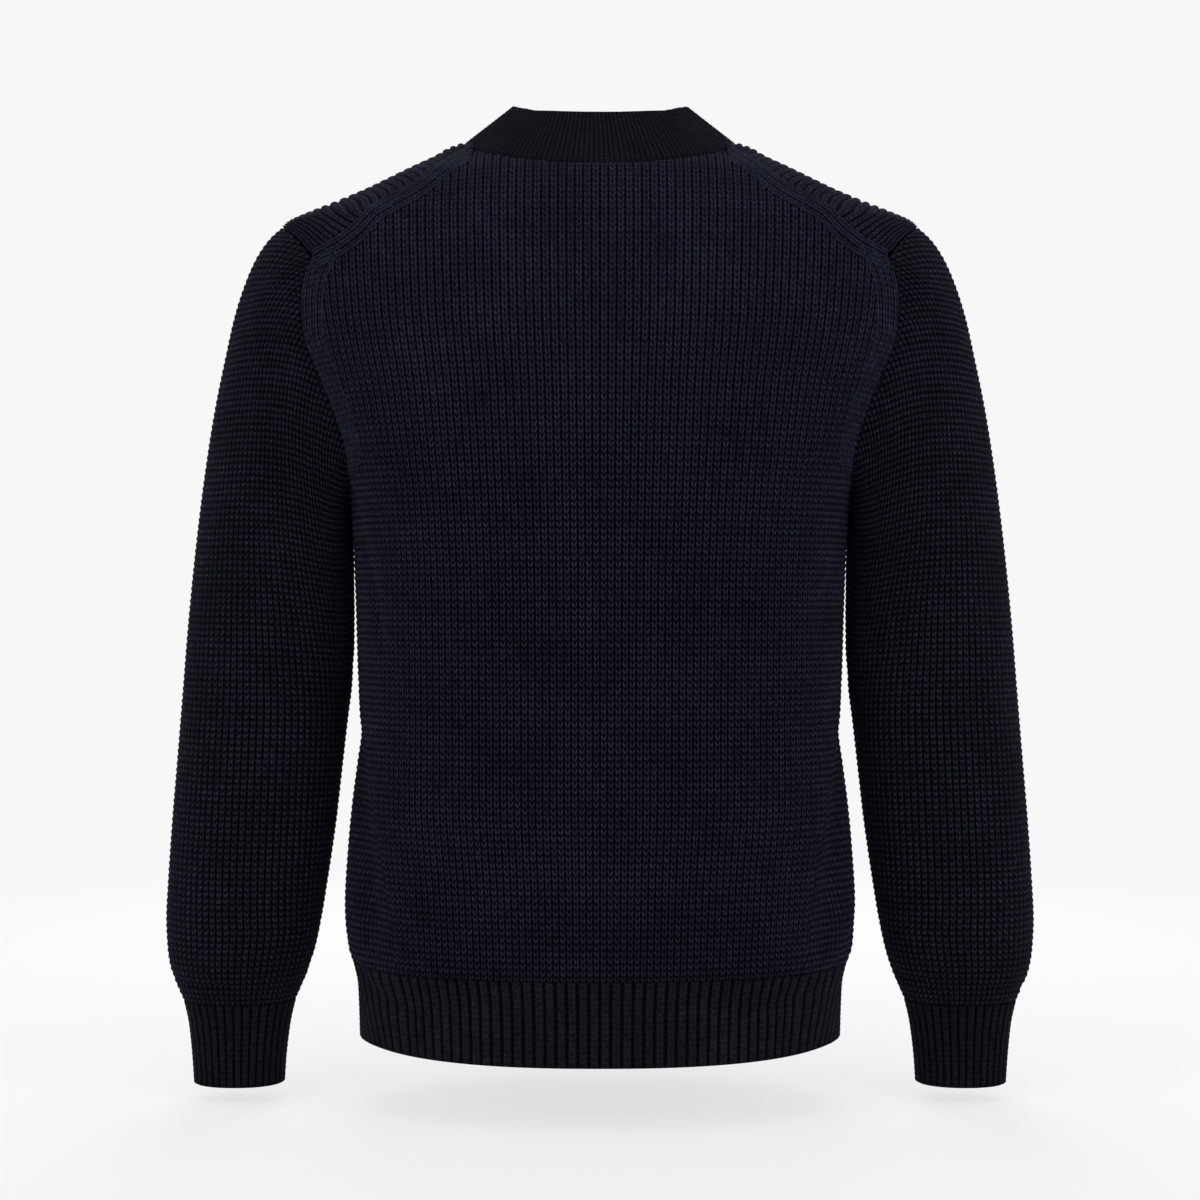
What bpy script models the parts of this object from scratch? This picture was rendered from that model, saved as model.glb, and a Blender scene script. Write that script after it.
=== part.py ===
"""A long-sleeved knitted jumper with a ribbed stand collar, filled out as if worn.

The body is a front and a back with side seams.  The front reaches over the shoulders to seams
that lie on the back.  Two set-in sleeves, four ribbed bands at hem and cuffs, and a finely
ribbed collar complete it.  Every piece is a wall of cloth of its own, open inside, and a narrow
gap parts it from the pieces that it is sewn to.

The origin lies in the middle of the neck opening, level with the side of the neck.  +X is the
wearer's left, -Y the front and +Z up.  Tables and named sizes are millimetres, the model is
metres.  A turn is an angle round the body: 0 at the middle of the back, 90 at the wearer's
left side and 180 at the middle of the front.
"""
import math
from typing import NamedTuple

import bmesh
import bpy
import numpy as np

MM = 0.001
WALL = 3.0              # thickness of the knitted cloth
SEAM_GAP = 0.34         # between two pieces that are sewn together
SQUARENESS = 2.4        # of the body's sections: 2 is an ellipse, more is boxier
NECK_SQUARENESS = 2.3
SLEEVE_SQUARENESS = 2.15

HEM_TOP = -594.0
HEM_BEND = -613.0       # where the hem has drawn the body in
HEM_BOTTOM = -650.0
HEM_DROP = 4.5          # the middle of the hem hangs lower than its sides
SHOULDER_END = -57.0    # top of the armhole, on the ridge of the shoulder

NECK_HALF_WIDTH = 98.0
NECK_BACK = 78.0
NECK_FRONT = 88.0
SHOULDER_SEAM_AT_NECK = 68.0    # turn at which the shoulder seam meets the neckline
RIM_HALF_WIDTH = 64.0
RIM_BACK = 58.0
RIM_FRONT = 66.0

HEM_RIBS = 90           # all round, 10 to 11 mm each
CUFF_RIBS = 28
COLLAR_RIBS = 160
HEM_RELIEF = 1.6        # how far a rib stands out from its groove
CUFF_RELIEF = 1.3
COLLAR_RELIEF = 0.8
HEM_SLANT = 5.0         # degrees by which the ribs near the sides lean back on their way down

SIDE_ROWS = 10          # mesh rows from hem to armpit
BACK_ARM_ROWS = (7, 2)  # below and above the level where the shoulder begins to slope
FRONT_ARM_ROWS = (6, 5)
CAP_ROWS = 4            # from the ridge of the shoulder to its seam on the back
NECK_COLUMNS = 5
SHOULDER_COLUMNS = 5
RIB_COLUMNS = 3         # mesh columns of a rib: its groove and two along its crest
COLLAR_COLUMNS = 2
COLLAR_INNER_STEP = 4   # outer columns for each plain column inside
FINE = 720              # steps along which a curve's length is measured
SHARP_ANGLE = 50.0      # degrees between faces, above which their edge stays sharp

BACK_SLOPE_START = -75.0        # height at the middle of the back
BACK_SLOPE_ARM = -102.0         # and where the same level meets the armhole
FRONT_SLOPE_START = -110.0
FRONT_SLOPE_ARM = -105.0


class Section(NamedTuple):
    """One level of the body."""
    height: float
    half_width: float
    back_depth: float
    front_depth: float


TORSO = (
    Section(-665.0, 176.0, 122.0, 127.0),
    Section(-650.0, 176.2, 122.5, 127.5),
    Section(-613.0, 177.5, 124.0, 130.0),
    Section(-598.0, 180.5, 126.0, 133.0),
    Section(-584.0, 185.0, 129.0, 137.0),
    Section(-554.0, 187.0, 130.0, 139.0),
    Section(-510.0, 184.6, 126.0, 136.0),
    Section(-480.0, 182.0, 123.0, 133.0),
    Section(-451.0, 179.0, 120.0, 130.0),
    Section(-417.0, 176.5, 118.0, 128.0),
    Section(-376.0, 178.0, 120.0, 129.0),
    Section(-340.0, 179.0, 123.0, 131.0),
    Section(-300.0, 180.5, 126.0, 133.0),
    Section(-270.0, 182.3, 127.5, 133.5),
    Section(-255.0, 184.5, 128.0, 133.5),
    Section(-230.0, 193.0, 127.5, 133.0),
    Section(-200.0, 206.0, 125.5, 132.0),
    Section(-175.0, 218.0, 122.5, 129.5),
    Section(-150.0, 229.0, 118.5, 125.0),
    Section(-125.0, 236.0, 113.5, 118.0),
    Section(-100.0, 239.0, 108.0, 111.0),
    Section(-75.0, 239.0, 101.5, 102.5),
    Section(-62.0, 235.5, 97.5, 95.5),
    Section(-57.0, 232.0, 96.0, 93.0),
    Section(-50.8, 219.0, 93.2, 89.0),
    Section(-42.0, 196.8, 89.5, 81.0),
    Section(-33.0, 175.4, 85.0, 72.0),
    Section(-24.2, 157.6, 79.0, 65.0),
    Section(-15.3, 140.6, 66.5, 57.0),
    Section(-6.4, 123.6, 49.5, 48.0),
    Section(0.3, 112.7, 40.0, 41.0),
    Section(3.5, 104.3, 34.0, 36.0),
    Section(6.4, 95.5, 28.0, 31.0),
    Section(10.0, 84.0, 22.0, 25.0),
)


class SeamPoint(NamedTuple):
    """A point of a seam on the body."""
    height: float
    turn: float


# The side seam is drawn to the back below the waist, where the front is the fuller piece.
SIDE_SEAM = (
    SeamPoint(-665.0, 47.0),
    SeamPoint(-594.0, 47.5),
    SeamPoint(-563.0, 48.7),
    SeamPoint(-551.0, 49.5),
    SeamPoint(-520.0, 53.4),
    SeamPoint(-495.0, 58.0),
    SeamPoint(-460.0, 64.5),
    SeamPoint(-429.0, 73.0),
    SeamPoint(-405.0, 83.0),
    SeamPoint(-385.0, 90.0),
    SeamPoint(-255.0, 90.0),
)
BACK_ARMHOLE = (
    SeamPoint(-255.0, 90.0),
    SeamPoint(-252.0, 82.0),
    SeamPoint(-245.0, 76.0),
    SeamPoint(-232.0, 68.5),
    SeamPoint(-214.0, 65.4),
    SeamPoint(-196.0, 64.2),
    SeamPoint(-166.0, 63.8),
    SeamPoint(-148.0, 64.2),
    SeamPoint(-126.0, 62.5),
    SeamPoint(-112.0, 61.2),
    SeamPoint(-100.0, 59.4),
    SeamPoint(-88.0, 56.5),
)
CAP_SEAM = (
    SeamPoint(-88.0, 56.5),
    SeamPoint(-72.0, 64.0),
    SeamPoint(-63.0, 75.0),
    SeamPoint(-57.0, 90.0),
)
FRONT_ARMHOLE = (
    SeamPoint(-57.0, 90.0),
    SeamPoint(-63.0, 104.0),
    SeamPoint(-72.0, 112.0),
    SeamPoint(-88.0, 118.0),
    SeamPoint(-105.0, 121.0),
    SeamPoint(-126.0, 123.0),
    SeamPoint(-150.0, 122.5),
    SeamPoint(-175.0, 120.5),
    SeamPoint(-200.0, 117.5),
    SeamPoint(-225.0, 113.0),
    SeamPoint(-240.0, 108.0),
    SeamPoint(-250.0, 99.0),
    SeamPoint(-255.0, 90.0),
)
SHOULDER_SEAM = (
    SeamPoint(-26.0, 42.5),
    SeamPoint(-42.0, 39.9),
    SeamPoint(-54.0, 39.8),
    SeamPoint(-65.0, 41.5),
    SeamPoint(-76.0, 45.8),
    SeamPoint(-88.0, 56.5),
)


class Crease(NamedTuple):
    """Depth of the soft fold that runs beside the side seam, at one height."""
    height: float
    depth: float


SIDE_CREASE = (
    Crease(-665.0, 0.0),
    Crease(-606.0, 0.0),
    Crease(-585.0, 3.0),
    Crease(-545.0, 6.0),
    Crease(-490.0, 6.5),
    Crease(-445.0, 4.5),
    Crease(-410.0, 0.0),
    Crease(-300.0, 0.0),
)
CREASE_BEYOND_SEAM = 10.0   # degrees from the seam to the bottom of the fold
CREASE_WIDTH = 8.0
TURN_STEP = 1.5             # steps over which the body's slope is taken
HEIGHT_STEP = 0.8


class Rim(NamedTuple):
    """Height of the collar's upper edge."""
    turn: float
    height: float


COLLAR_RIM = (
    Rim(-40.0, 21.0),
    Rim(0.0, 17.5),
    Rim(40.0, 21.0),
    Rim(65.0, 27.0),
    Rim(90.0, 32.0),
    Rim(115.0, 27.0),
    Rim(145.0, 8.0),
    Rim(180.0, -8.0),
    Rim(215.0, 8.0),
)


class Ring(NamedTuple):
    """One section of a sleeve or cuff, from its outer edge to its inner edge.

    armhole is the share of the armhole's own outline that the section still shows.
    """
    outer_x: float
    outer_z: float
    inner_x: float
    inner_z: float
    depth: float
    armhole: float


SLEEVE = (
    Ring(232.0, -57.0, 184.5, -255.0, 66.0, 1.0),
    Ring(241.0, -65.5, 184.8, -260.0, 67.5, 0.85),
    Ring(251.4, -80.0, 184.6, -267.0, 68.5, 0.62),
    Ring(261.0, -100.0, 184.2, -275.0, 69.0, 0.40),
    Ring(269.5, -125.0, 183.8, -285.0, 68.5, 0.22),
    Ring(276.0, -154.0, 183.4, -297.0, 68.0, 0.10),
    Ring(282.0, -184.0, 183.1, -311.0, 67.0, 0.03),
    Ring(287.0, -214.0, 182.9, -326.0, 66.0, 0.0),
    Ring(292.5, -252.0, 182.6, -344.0, 65.0, 0.0),
    Ring(298.3, -300.0, 182.6, -368.0, 63.0, 0.0),
    Ring(303.3, -350.0, 184.2, -395.0, 60.5, 0.0),
    Ring(307.2, -398.0, 187.5, -422.0, 58.0, 0.0),
    Ring(311.3, -448.0, 192.0, -462.0, 56.0, 0.0),
    Ring(315.0, -492.0, 196.0, -497.0, 54.0, 0.0),
    Ring(318.2, -538.0, 202.0, -538.0, 52.0, 0.0),
    Ring(319.6, -566.0, 206.6, -566.0, 50.0, 0.0),
    Ring(318.6, -588.0, 211.2, -588.0, 47.5, 0.0),
    Ring(316.0, -604.0, 216.0, -604.0, 44.0, 0.0),
    Ring(311.5, -616.0, 221.0, -616.0, 39.5, 0.0),
    Ring(307.3, -625.5, 225.2, -625.5, 35.0, 0.0),
)
CUFF = (
    Ring(307.3, -625.5, 225.2, -625.5, 35.0, 0.0),
    Ring(303.4, -644.0, 229.4, -644.0, 31.0, 0.0),
    Ring(300.8, -670.0, 232.6, -670.0, 28.0, 0.0),
    Ring(299.6, -688.0, 233.8, -688.0, 27.0, 0.0),
)


def smooth_curve(at, values):
    """Return a function through the given values that never swings past them."""
    at = np.array(at, dtype=float)
    values = np.array(values, dtype=float)
    step = np.diff(at)
    slope = np.diff(values) / step
    tangent = np.concatenate(([slope[0]], np.zeros(len(slope) - 1), [slope[-1]]))
    same_sign = slope[:-1] * slope[1:] > 0.0
    both = np.where(same_sign, slope[:-1] + slope[1:], 1.0)
    tangent[1:-1] = np.where(same_sign, 2.0 * slope[:-1] * slope[1:] / both, 0.0)

    def value(where):
        where = np.clip(where, at[0], at[-1])
        i = np.clip(np.searchsorted(at, where) - 1, 0, len(step) - 1)
        t = (where - at[i]) / step[i]
        return ((1 + 2 * t) * (1 - t) ** 2 * values[i] + t * (1 - t) ** 2 * step[i] * tangent[i]
                + t * t * (3 - 2 * t) * values[i + 1] - t * t * (1 - t) * step[i] * tangent[i + 1])

    return value


HALF_WIDTH = smooth_curve([s.height for s in TORSO], [s.half_width for s in TORSO])
BACK_DEPTH = smooth_curve([s.height for s in TORSO], [s.back_depth for s in TORSO])
FRONT_DEPTH = smooth_curve([s.height for s in TORSO], [s.front_depth for s in TORSO])
SEAM_TURN = smooth_curve([p.height for p in SIDE_SEAM], [p.turn for p in SIDE_SEAM])
CREASE_DEPTH = smooth_curve([c.height for c in SIDE_CREASE], [c.depth for c in SIDE_CREASE])
RIM_HEIGHT = smooth_curve([r.turn for r in COLLAR_RIM], [r.height for r in COLLAR_RIM])


def signed_power(value, power):
    """Raise the size of a value to a power and keep its sign."""
    return np.sign(value) * np.abs(value) ** power


def signed_turn(turn):
    """Return a turn as an angle from -180 to 180."""
    return np.mod(turn + 180.0, 360.0) - 180.0


def unit(vectors):
    """Scale vectors to length 1."""
    return vectors / np.maximum(np.linalg.norm(vectors, axis=-1, keepdims=True), 1e-9)


def torso_point(turn, height):
    """Return the point of the body's outside at a turn and a height."""
    angle = np.radians(turn)
    x = HALF_WIDTH(height) * signed_power(np.sin(angle), 2.0 / SQUARENESS)
    depth = np.where(np.cos(angle) >= 0.0, BACK_DEPTH(height), FRONT_DEPTH(height))
    y = depth * signed_power(np.cos(angle), 2.0 / SQUARENESS)
    past_seam = np.abs(signed_turn(turn)) - SEAM_TURN(height)
    beyond = (past_seam - CREASE_BEYOND_SEAM) / CREASE_WIDTH
    reach = np.maximum(np.hypot(x, y), 1.0)
    scale = 1.0 - CREASE_DEPTH(height) * np.exp(-beyond ** 2) / reach
    return np.stack([x * scale, y * scale, height + 0.0 * x], axis=-1)


def torso_normal(turn, height):
    """Return the outward direction of the body's outside."""
    turn = np.asarray(turn, dtype=float)
    height = np.asarray(height, dtype=float)
    around = torso_point(turn + TURN_STEP, height) - torso_point(turn - TURN_STEP, height)
    upward = torso_point(turn, height + HEIGHT_STEP) - torso_point(turn, height - HEIGHT_STEP)
    return unit(np.cross(upward, around))


def neck_point(turn):
    """Return turn and height on the body of the neckline, at a turn round the neck."""
    angle = math.radians(turn)
    depth = NECK_BACK if math.cos(angle) >= 0.0 else NECK_FRONT
    x = NECK_HALF_WIDTH * signed_power(math.sin(angle), 2.0 / NECK_SQUARENESS)
    y = depth * signed_power(math.cos(angle), 2.0 / NECK_SQUARENESS)
    low, high = -120.0, 10.0
    for _ in range(40):
        middle = (low + high) / 2.0
        body_depth = BACK_DEPTH(middle) if y >= 0.0 else FRONT_DEPTH(middle)
        fill = abs(x / HALF_WIDTH(middle)) ** SQUARENESS + abs(y / body_depth) ** SQUARENESS
        low, high = (middle, high) if fill < 1.0 else (low, middle)
    sideways = signed_power(x / HALF_WIDTH(low), SQUARENESS / 2.0)
    backward = signed_power(y / body_depth, SQUARENESS / 2.0)
    return math.degrees(math.atan2(sideways, backward)), low


def travelled(points):
    """Return how far along a row of points each of them lies."""
    steps = np.linalg.norm(np.diff(points, axis=0), axis=1)
    return np.concatenate(([0.0], np.cumsum(steps)))


def even_samples(rows, count):
    """Place count + 1 points at equal distances along a seam, as rows of turn and height."""
    heights = np.array([row[0] for row in rows])
    turns = np.array([row[1] for row in rows])
    knots = torso_point(turns, heights)
    travel = travelled(knots)
    turn_at = smooth_curve(travel, turns)
    height_at = smooth_curve(travel, heights)
    fine = np.linspace(0.0, travel[-1], 200)
    points = torso_point(turn_at(fine), height_at(fine))
    length = travelled(points)
    chosen = np.interp(np.linspace(0.0, length[-1], count + 1), length, fine)
    return np.stack([turn_at(chosen), height_at(chosen)], axis=-1)


def neckline(start, end, count):
    """Return turn and height of the neckline between two turns round the neck."""
    return np.array([neck_point(turn) for turn in np.linspace(start, end, count + 1)])


def split_samples(rows, level, counts):
    """Sample a seam evenly below and above a level that it crosses, from its lower end."""
    turn_at = smooth_curve([row.height for row in rows], [row.turn for row in rows])
    crossing = SeamPoint(level, float(turn_at(level)))
    lower = [row for row in rows if row.height < level] + [crossing]
    upper = [crossing] + [row for row in rows if row.height > level]
    return np.concatenate([even_samples(lower, counts[0]), even_samples(upper, counts[1])[1:]])


def fill_patch(bottom, top, left, right):
    """Fill four meeting boundaries with a grid."""
    across = np.linspace(0.0, 1.0, len(bottom))[None, :, None]
    up = np.linspace(0.0, 1.0, len(left))[:, None, None]
    sides = (1 - across) * left[:, None] + across * right[:, None]
    low = bottom[None] - ((1 - across) * bottom[0] + across * bottom[-1])
    high = top[None] - ((1 - across) * top[0] + across * top[-1])
    return sides + (1 - up) * low + up * high


def body_x(rows):
    """Turn rows of turn and height into rows of x and height, within one quarter of the body."""
    turns, heights = rows[..., 0], rows[..., 1]
    x = HALF_WIDTH(heights) * np.abs(np.sin(np.radians(turns))) ** (2.0 / SQUARENESS)
    return np.stack([x, heights], axis=-1)


def body_turn(rows, middle_turn):
    """Turn rows of x and height back into rows of turn and height."""
    share = np.clip(rows[..., 0] / HALF_WIDTH(rows[..., 1]), 0.0, 1.0)
    turns = np.degrees(np.arcsin(share ** (SQUARENESS / 2.0)))
    return np.stack([np.abs(middle_turn - turns), rows[..., 1]], axis=-1)


def fill_panel(middle_turn, slope_start, hem_row_points, top, right, lower_rows):
    """Fill half a front or back: straight up to where the shoulder slopes, then to its top.

    Above that level the grid is spaced by x, so that its columns run straight up the shoulder.
    """
    start, crossing = np.array([middle_turn, slope_start]), right[lower_rows]
    top_x = body_x(top)
    share = top_x[:, 0] / top_x[-1, 0]
    heights = start[1] + (crossing[1] - start[1]) * share
    level_x = np.stack([share * body_x(crossing)[0], heights], axis=-1)
    level = body_turn(level_x, middle_turn)
    level[0], level[-1] = start, crossing
    upper_rows = len(right) - 1 - lower_rows
    lower_middle = np.linspace(hem_row_points[0], start, lower_rows + 1)
    upper_middle = np.linspace(start, top[0], upper_rows + 1)
    lower = fill_patch(hem_row_points, level, lower_middle, right[:lower_rows + 1])
    upper = fill_patch(level_x, top_x, body_x(upper_middle), body_x(right[lower_rows:]))
    upper = body_turn(upper, middle_turn)
    upper[:, -1], upper[-1] = right[lower_rows:], top
    return np.concatenate([lower, upper[1:]])


def seam_directions(points, normals, towards):
    """Return the directions into the cloth and across the seam at each of its points."""
    tangent = np.gradient(points, axis=0)
    inward = -unit(normals)
    across = np.cross(tangent, inward)
    across *= np.sign(np.sum(across * towards, axis=-1, keepdims=True))
    return inward, unit(across)


def grid_normals(grid, closed):
    """Return the normals of a grid of points, outward for rings that run downward."""
    if closed:
        around = np.roll(grid, -1, axis=1) - np.roll(grid, 1, axis=1)
    else:
        around = np.gradient(grid, axis=1)
    along = np.gradient(grid, axis=0)
    normal = unit(np.cross(along, around))
    centre = grid.mean(axis=1, keepdims=True)
    outward = np.sign(np.sum(normal * (grid - centre), axis=-1).mean())
    return normal * outward


def mirrored(points):
    """Return points on the other side of the body."""
    return points * np.array([-1.0, 1.0, 1.0])


class Design:
    """All seams and outer grids of the wearer's left half."""

    def __init__(self):
        self.side = even_samples([row for row in SIDE_SEAM if row.height >= HEM_TOP], SIDE_ROWS)
        self.back_arm = split_samples(BACK_ARMHOLE, BACK_SLOPE_ARM, BACK_ARM_ROWS)
        self.cap = even_samples(CAP_SEAM, CAP_ROWS)
        self.front_arm = split_samples(FRONT_ARMHOLE[::-1], FRONT_SLOPE_ARM, FRONT_ARM_ROWS)
        self.neck_back = neckline(0.0, SHOULDER_SEAM_AT_NECK, NECK_COLUMNS)
        self.neck_side = neckline(SHOULDER_SEAM_AT_NECK, 90.0, CAP_ROWS)
        self.neck_front = neckline(90.0, 180.0, NECK_COLUMNS)
        start = self.neck_back[-1]
        shoulder = ((start[1], start[0]),) + SHOULDER_SEAM
        self.shoulder = even_samples(shoulder, SHOULDER_COLUMNS)
        ridge = ((self.neck_side[-1][1], 90.0), (SHOULDER_END, 90.0))
        self.ridge = even_samples(ridge, SHOULDER_COLUMNS)
        self.armhole_grids()
        self.place_neck()

    def armhole_grids(self):
        """Work out the sleeve's outer grid and the seam round the armhole."""
        loop = np.concatenate([self.back_arm, self.cap[1:], self.front_arm[-2:0:-1]])
        points = torso_point(loop[:, 0], loop[:, 1])
        body_normals = torso_normal(loop[:, 0], loop[:, 1])
        grid = sleeve_grid(points, SLEEVE)
        sleeve_normals = grid_normals(grid, True)
        down = np.array([0.0, 0.0, -0.15])
        blend = unit(body_normals + sleeve_normals[0] + down)
        ringed = np.concatenate([points[-1:], points, points[:1]])
        normals = np.concatenate([blend[-1:], blend, blend[:1]])
        away = grid[1] - grid[0]
        away = np.concatenate([away[-1:], away, away[:1]])
        inward, across = seam_directions(ringed, normals, away)
        self.arm_points, self.arm_inward, self.arm_across = points, inward[1:-1], across[1:-1]
        self.sleeve, self.sleeve_normals = grid, sleeve_normals

    def place_neck(self):
        """Work out the seam between body and collar, from the back to the front."""
        loop = np.concatenate([self.neck_back, self.neck_side[1:], self.neck_front[1:]])
        self.neck_turns = np.concatenate([
            np.linspace(0.0, SHOULDER_SEAM_AT_NECK, NECK_COLUMNS + 1),
            np.linspace(SHOULDER_SEAM_AT_NECK, 90.0, CAP_ROWS + 1)[1:],
            np.linspace(90.0, 180.0, NECK_COLUMNS + 1)[1:]])
        points = torso_point(loop[:, 0], loop[:, 1])
        rise = rim_point(self.neck_turns) - points
        tangent = np.gradient(points, axis=0)
        tangent[0] = tangent[-1] = (1.0, 0.0, 0.0)
        collar_normals = np.cross(rise, tangent)
        facing = points * np.array([1.0, 1.0, 0.0])
        collar_normals *= np.sign(np.sum(collar_normals * facing, axis=-1, keepdims=True))
        normals = unit(collar_normals) + torso_normal(loop[:, 0], loop[:, 1])
        normals[[0, -1], 0] = 0.0
        self.neck_points = points
        self.neck_inward, self.neck_across = seam_directions(points, normals, rise)


def rim_point(turn):
    """Return a point of the collar's upper edge."""
    angle = np.radians(turn)
    x = RIM_HALF_WIDTH * signed_power(np.sin(angle), 2.0 / NECK_SQUARENESS)
    depth = np.where(np.cos(angle) >= 0.0, RIM_BACK, RIM_FRONT)
    y = depth * signed_power(np.cos(angle), 2.0 / NECK_SQUARENESS)
    return np.stack([x, y, RIM_HEIGHT(np.abs(turn))], axis=-1)


def ring_points(ring, angles):
    """Return points of a sleeve's section; an angle of 0 is its outer edge, 90 its back."""
    outer = np.array([ring.outer_x, 0.0, ring.outer_z])
    inner = np.array([ring.inner_x, 0.0, ring.inner_z])
    centre, reach = (outer + inner) / 2.0, (outer - inner) / 2.0
    along = signed_power(np.cos(angles), 2.0 / SLEEVE_SQUARENESS)[:, None]
    back = signed_power(np.sin(angles), 2.0 / SLEEVE_SQUARENESS)[:, None]
    return centre + along * reach + back * np.array([0.0, ring.depth, 0.0])


def sleeve_grid(armhole, rings):
    """Return a sleeve's rings of points, from the armhole's own points down."""
    first = rings[0]
    outer = np.array([first.outer_x, 0.0, first.outer_z])
    inner = np.array([first.inner_x, 0.0, first.inner_z])
    centre, reach = (outer + inner) / 2.0, (outer - inner) / 2.0
    along = (armhole - centre) @ reach / (reach @ reach)
    back = armhole[:, 1] / first.depth
    own = np.unwrap(np.arctan2(signed_power(back, SLEEVE_SQUARENESS / 2.0),
                               signed_power(along, SLEEVE_SQUARENESS / 2.0)))
    even = own[0] + np.linspace(0.0, 2.0 * math.pi, len(armhole), endpoint=False) * np.sign(
        own[-1] - own[0])
    offset = armhole - ring_points(first, own)
    grid = []
    for ring in rings:
        angles = ring.armhole * own + (1.0 - ring.armhole) * even
        grid.append(ring_points(ring, angles) + ring.armhole * offset)
    return np.array(grid)


class Wall:
    """A wall of cloth gathered from patches of outer and inner points."""

    def __init__(self):
        self.index = {}
        self.outer = []
        self.inner = []
        self.faces = []

    def corner(self, outer, inner):
        """Return the number of a point, the same for every patch that shares it."""
        key = tuple(np.round(outer, 3))
        if key not in self.index:
            self.index[key] = len(self.outer)
            self.outer.append(outer)
            self.inner.append(inner)
        return self.index[key]

    def add(self, outer, inner, closed=False):
        """Add a grid of points; a closed grid joins its last column to its first."""
        rows, columns = outer.shape[:2]
        for i in range(rows - 1):
            for j in range(columns if closed else columns - 1):
                k = (j + 1) % columns
                cells = ((i, j), (i, k), (i + 1, k), (i + 1, j))
                quad = [self.corner(outer[c], inner[c]) for c in cells]
                one, two, three, four = (outer[c] for c in cells)
                if np.linalg.norm(one - three) > np.linalg.norm(two - four) + 1e-6:
                    quad = quad[1:] + quad[:1]
                self.faces += [[quad[0], quad[1], quad[2]], [quad[0], quad[2], quad[3]]]

    def build(self, name, material, collection):
        """Make the closed object: outside, inside and the edges between them."""
        shift = len(self.outer)
        faces = self.faces + [[v + shift for v in reversed(face)] for face in self.faces]
        edges = {(a, b) for face in self.faces for a, b in zip(face, face[1:] + face[:1])}
        for a, b in sorted(edges):
            if (b, a) not in edges:
                faces.append([b, a, a + shift, b + shift])
        return mesh_object(name, self.outer + self.inner, faces, material, collection)


def mesh_object(name, points, faces, material, collection):
    """Make an object from points in millimetres and faces, with its faces turned outward."""
    mesh = bpy.data.meshes.new(name)
    mesh.from_pydata([tuple(float(c) * MM for c in p) for p in points], [], faces)
    work = bmesh.new()
    work.from_mesh(mesh)
    bmesh.ops.recalc_face_normals(work, faces=work.faces)
    work.to_mesh(mesh)
    work.free()
    mesh.shade_smooth()
    mesh.set_sharp_from_angle(angle=math.radians(SHARP_ANGLE))
    mesh.materials.append(material)
    thing = bpy.data.objects.new(name, mesh)
    collection.objects.link(thing)
    return thing


def add_both_sides(wall, outer, inner):
    """Add a patch of the wearer's left half and its mirror image."""
    wall.add(outer, inner)
    wall.add(mirrored(outer)[:, ::-1], mirrored(inner)[:, ::-1])


def inset_edges(outer, inner, edges):
    """Move the points of a patch's boundaries to their own side of each seam.

    edges holds (rows, columns, inward, across) for each seam of the patch; inward points into
    the cloth and across away from the patch.
    """
    moved = outer.copy()
    for rows, columns, inward, _ in edges:
        inner[rows, columns] = outer[rows, columns] + WALL * inward
    for rows, columns, _, across in edges:
        moved[rows, columns] -= across * SEAM_GAP / 2.0
        inner[rows, columns] -= across * SEAM_GAP / 2.0
    return moved, inner


def surface(grid):
    """Return the outer and inner points of a grid of turns and heights."""
    outer = torso_point(grid[..., 0], grid[..., 1])
    return outer, outer - WALL * torso_normal(grid[..., 0], grid[..., 1])


def body_seam(rows, towards):
    """Return the directions into the cloth and across a seam that lies on the body."""
    points = torso_point(rows[:, 0], rows[:, 1])
    return seam_directions(points, torso_normal(rows[:, 0], rows[:, 1]), towards)


def build_back(design, material, collection):
    """The back: hem to neckline, with sloping shoulders and two armholes."""
    right = np.concatenate([design.side, design.back_arm[1:]])
    top = np.concatenate([design.neck_back, design.shoulder[1:]])
    bottom = np.stack([np.linspace(0.0, design.side[0][0], len(top)),
                       np.full(len(top), HEM_TOP)], axis=-1)
    lower_rows = SIDE_ROWS + BACK_ARM_ROWS[0]
    outer, inner = surface(fill_panel(0.0, BACK_SLOPE_START, bottom, top, right, lower_rows))
    every = slice(None)
    side = body_seam(design.side, np.array([0.3, -1.0, 0.0]))
    shoulder = body_seam(design.shoulder, np.array([0.2, -0.6, 1.0]))
    neck = slice(0, NECK_COLUMNS + 1)
    arm = slice(SIDE_ROWS, None)
    arm_count = sum(BACK_ARM_ROWS) + 1
    hem = body_seam(bottom, np.array([0.0, 0.0, -1.0]))
    edges = [
        (slice(0, SIDE_ROWS + 1), -1, *side),
        (0, every, *hem),
        (-1, slice(NECK_COLUMNS, None), *shoulder),
        (-1, neck, design.neck_inward[neck], design.neck_across[neck]),
        (arm, -1, design.arm_inward[:arm_count], design.arm_across[:arm_count]),
    ]
    outer, inner = inset_edges(outer, inner, edges)
    wall = Wall()
    add_both_sides(wall, outer, inner)
    return wall.build("back", material, collection)


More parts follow.
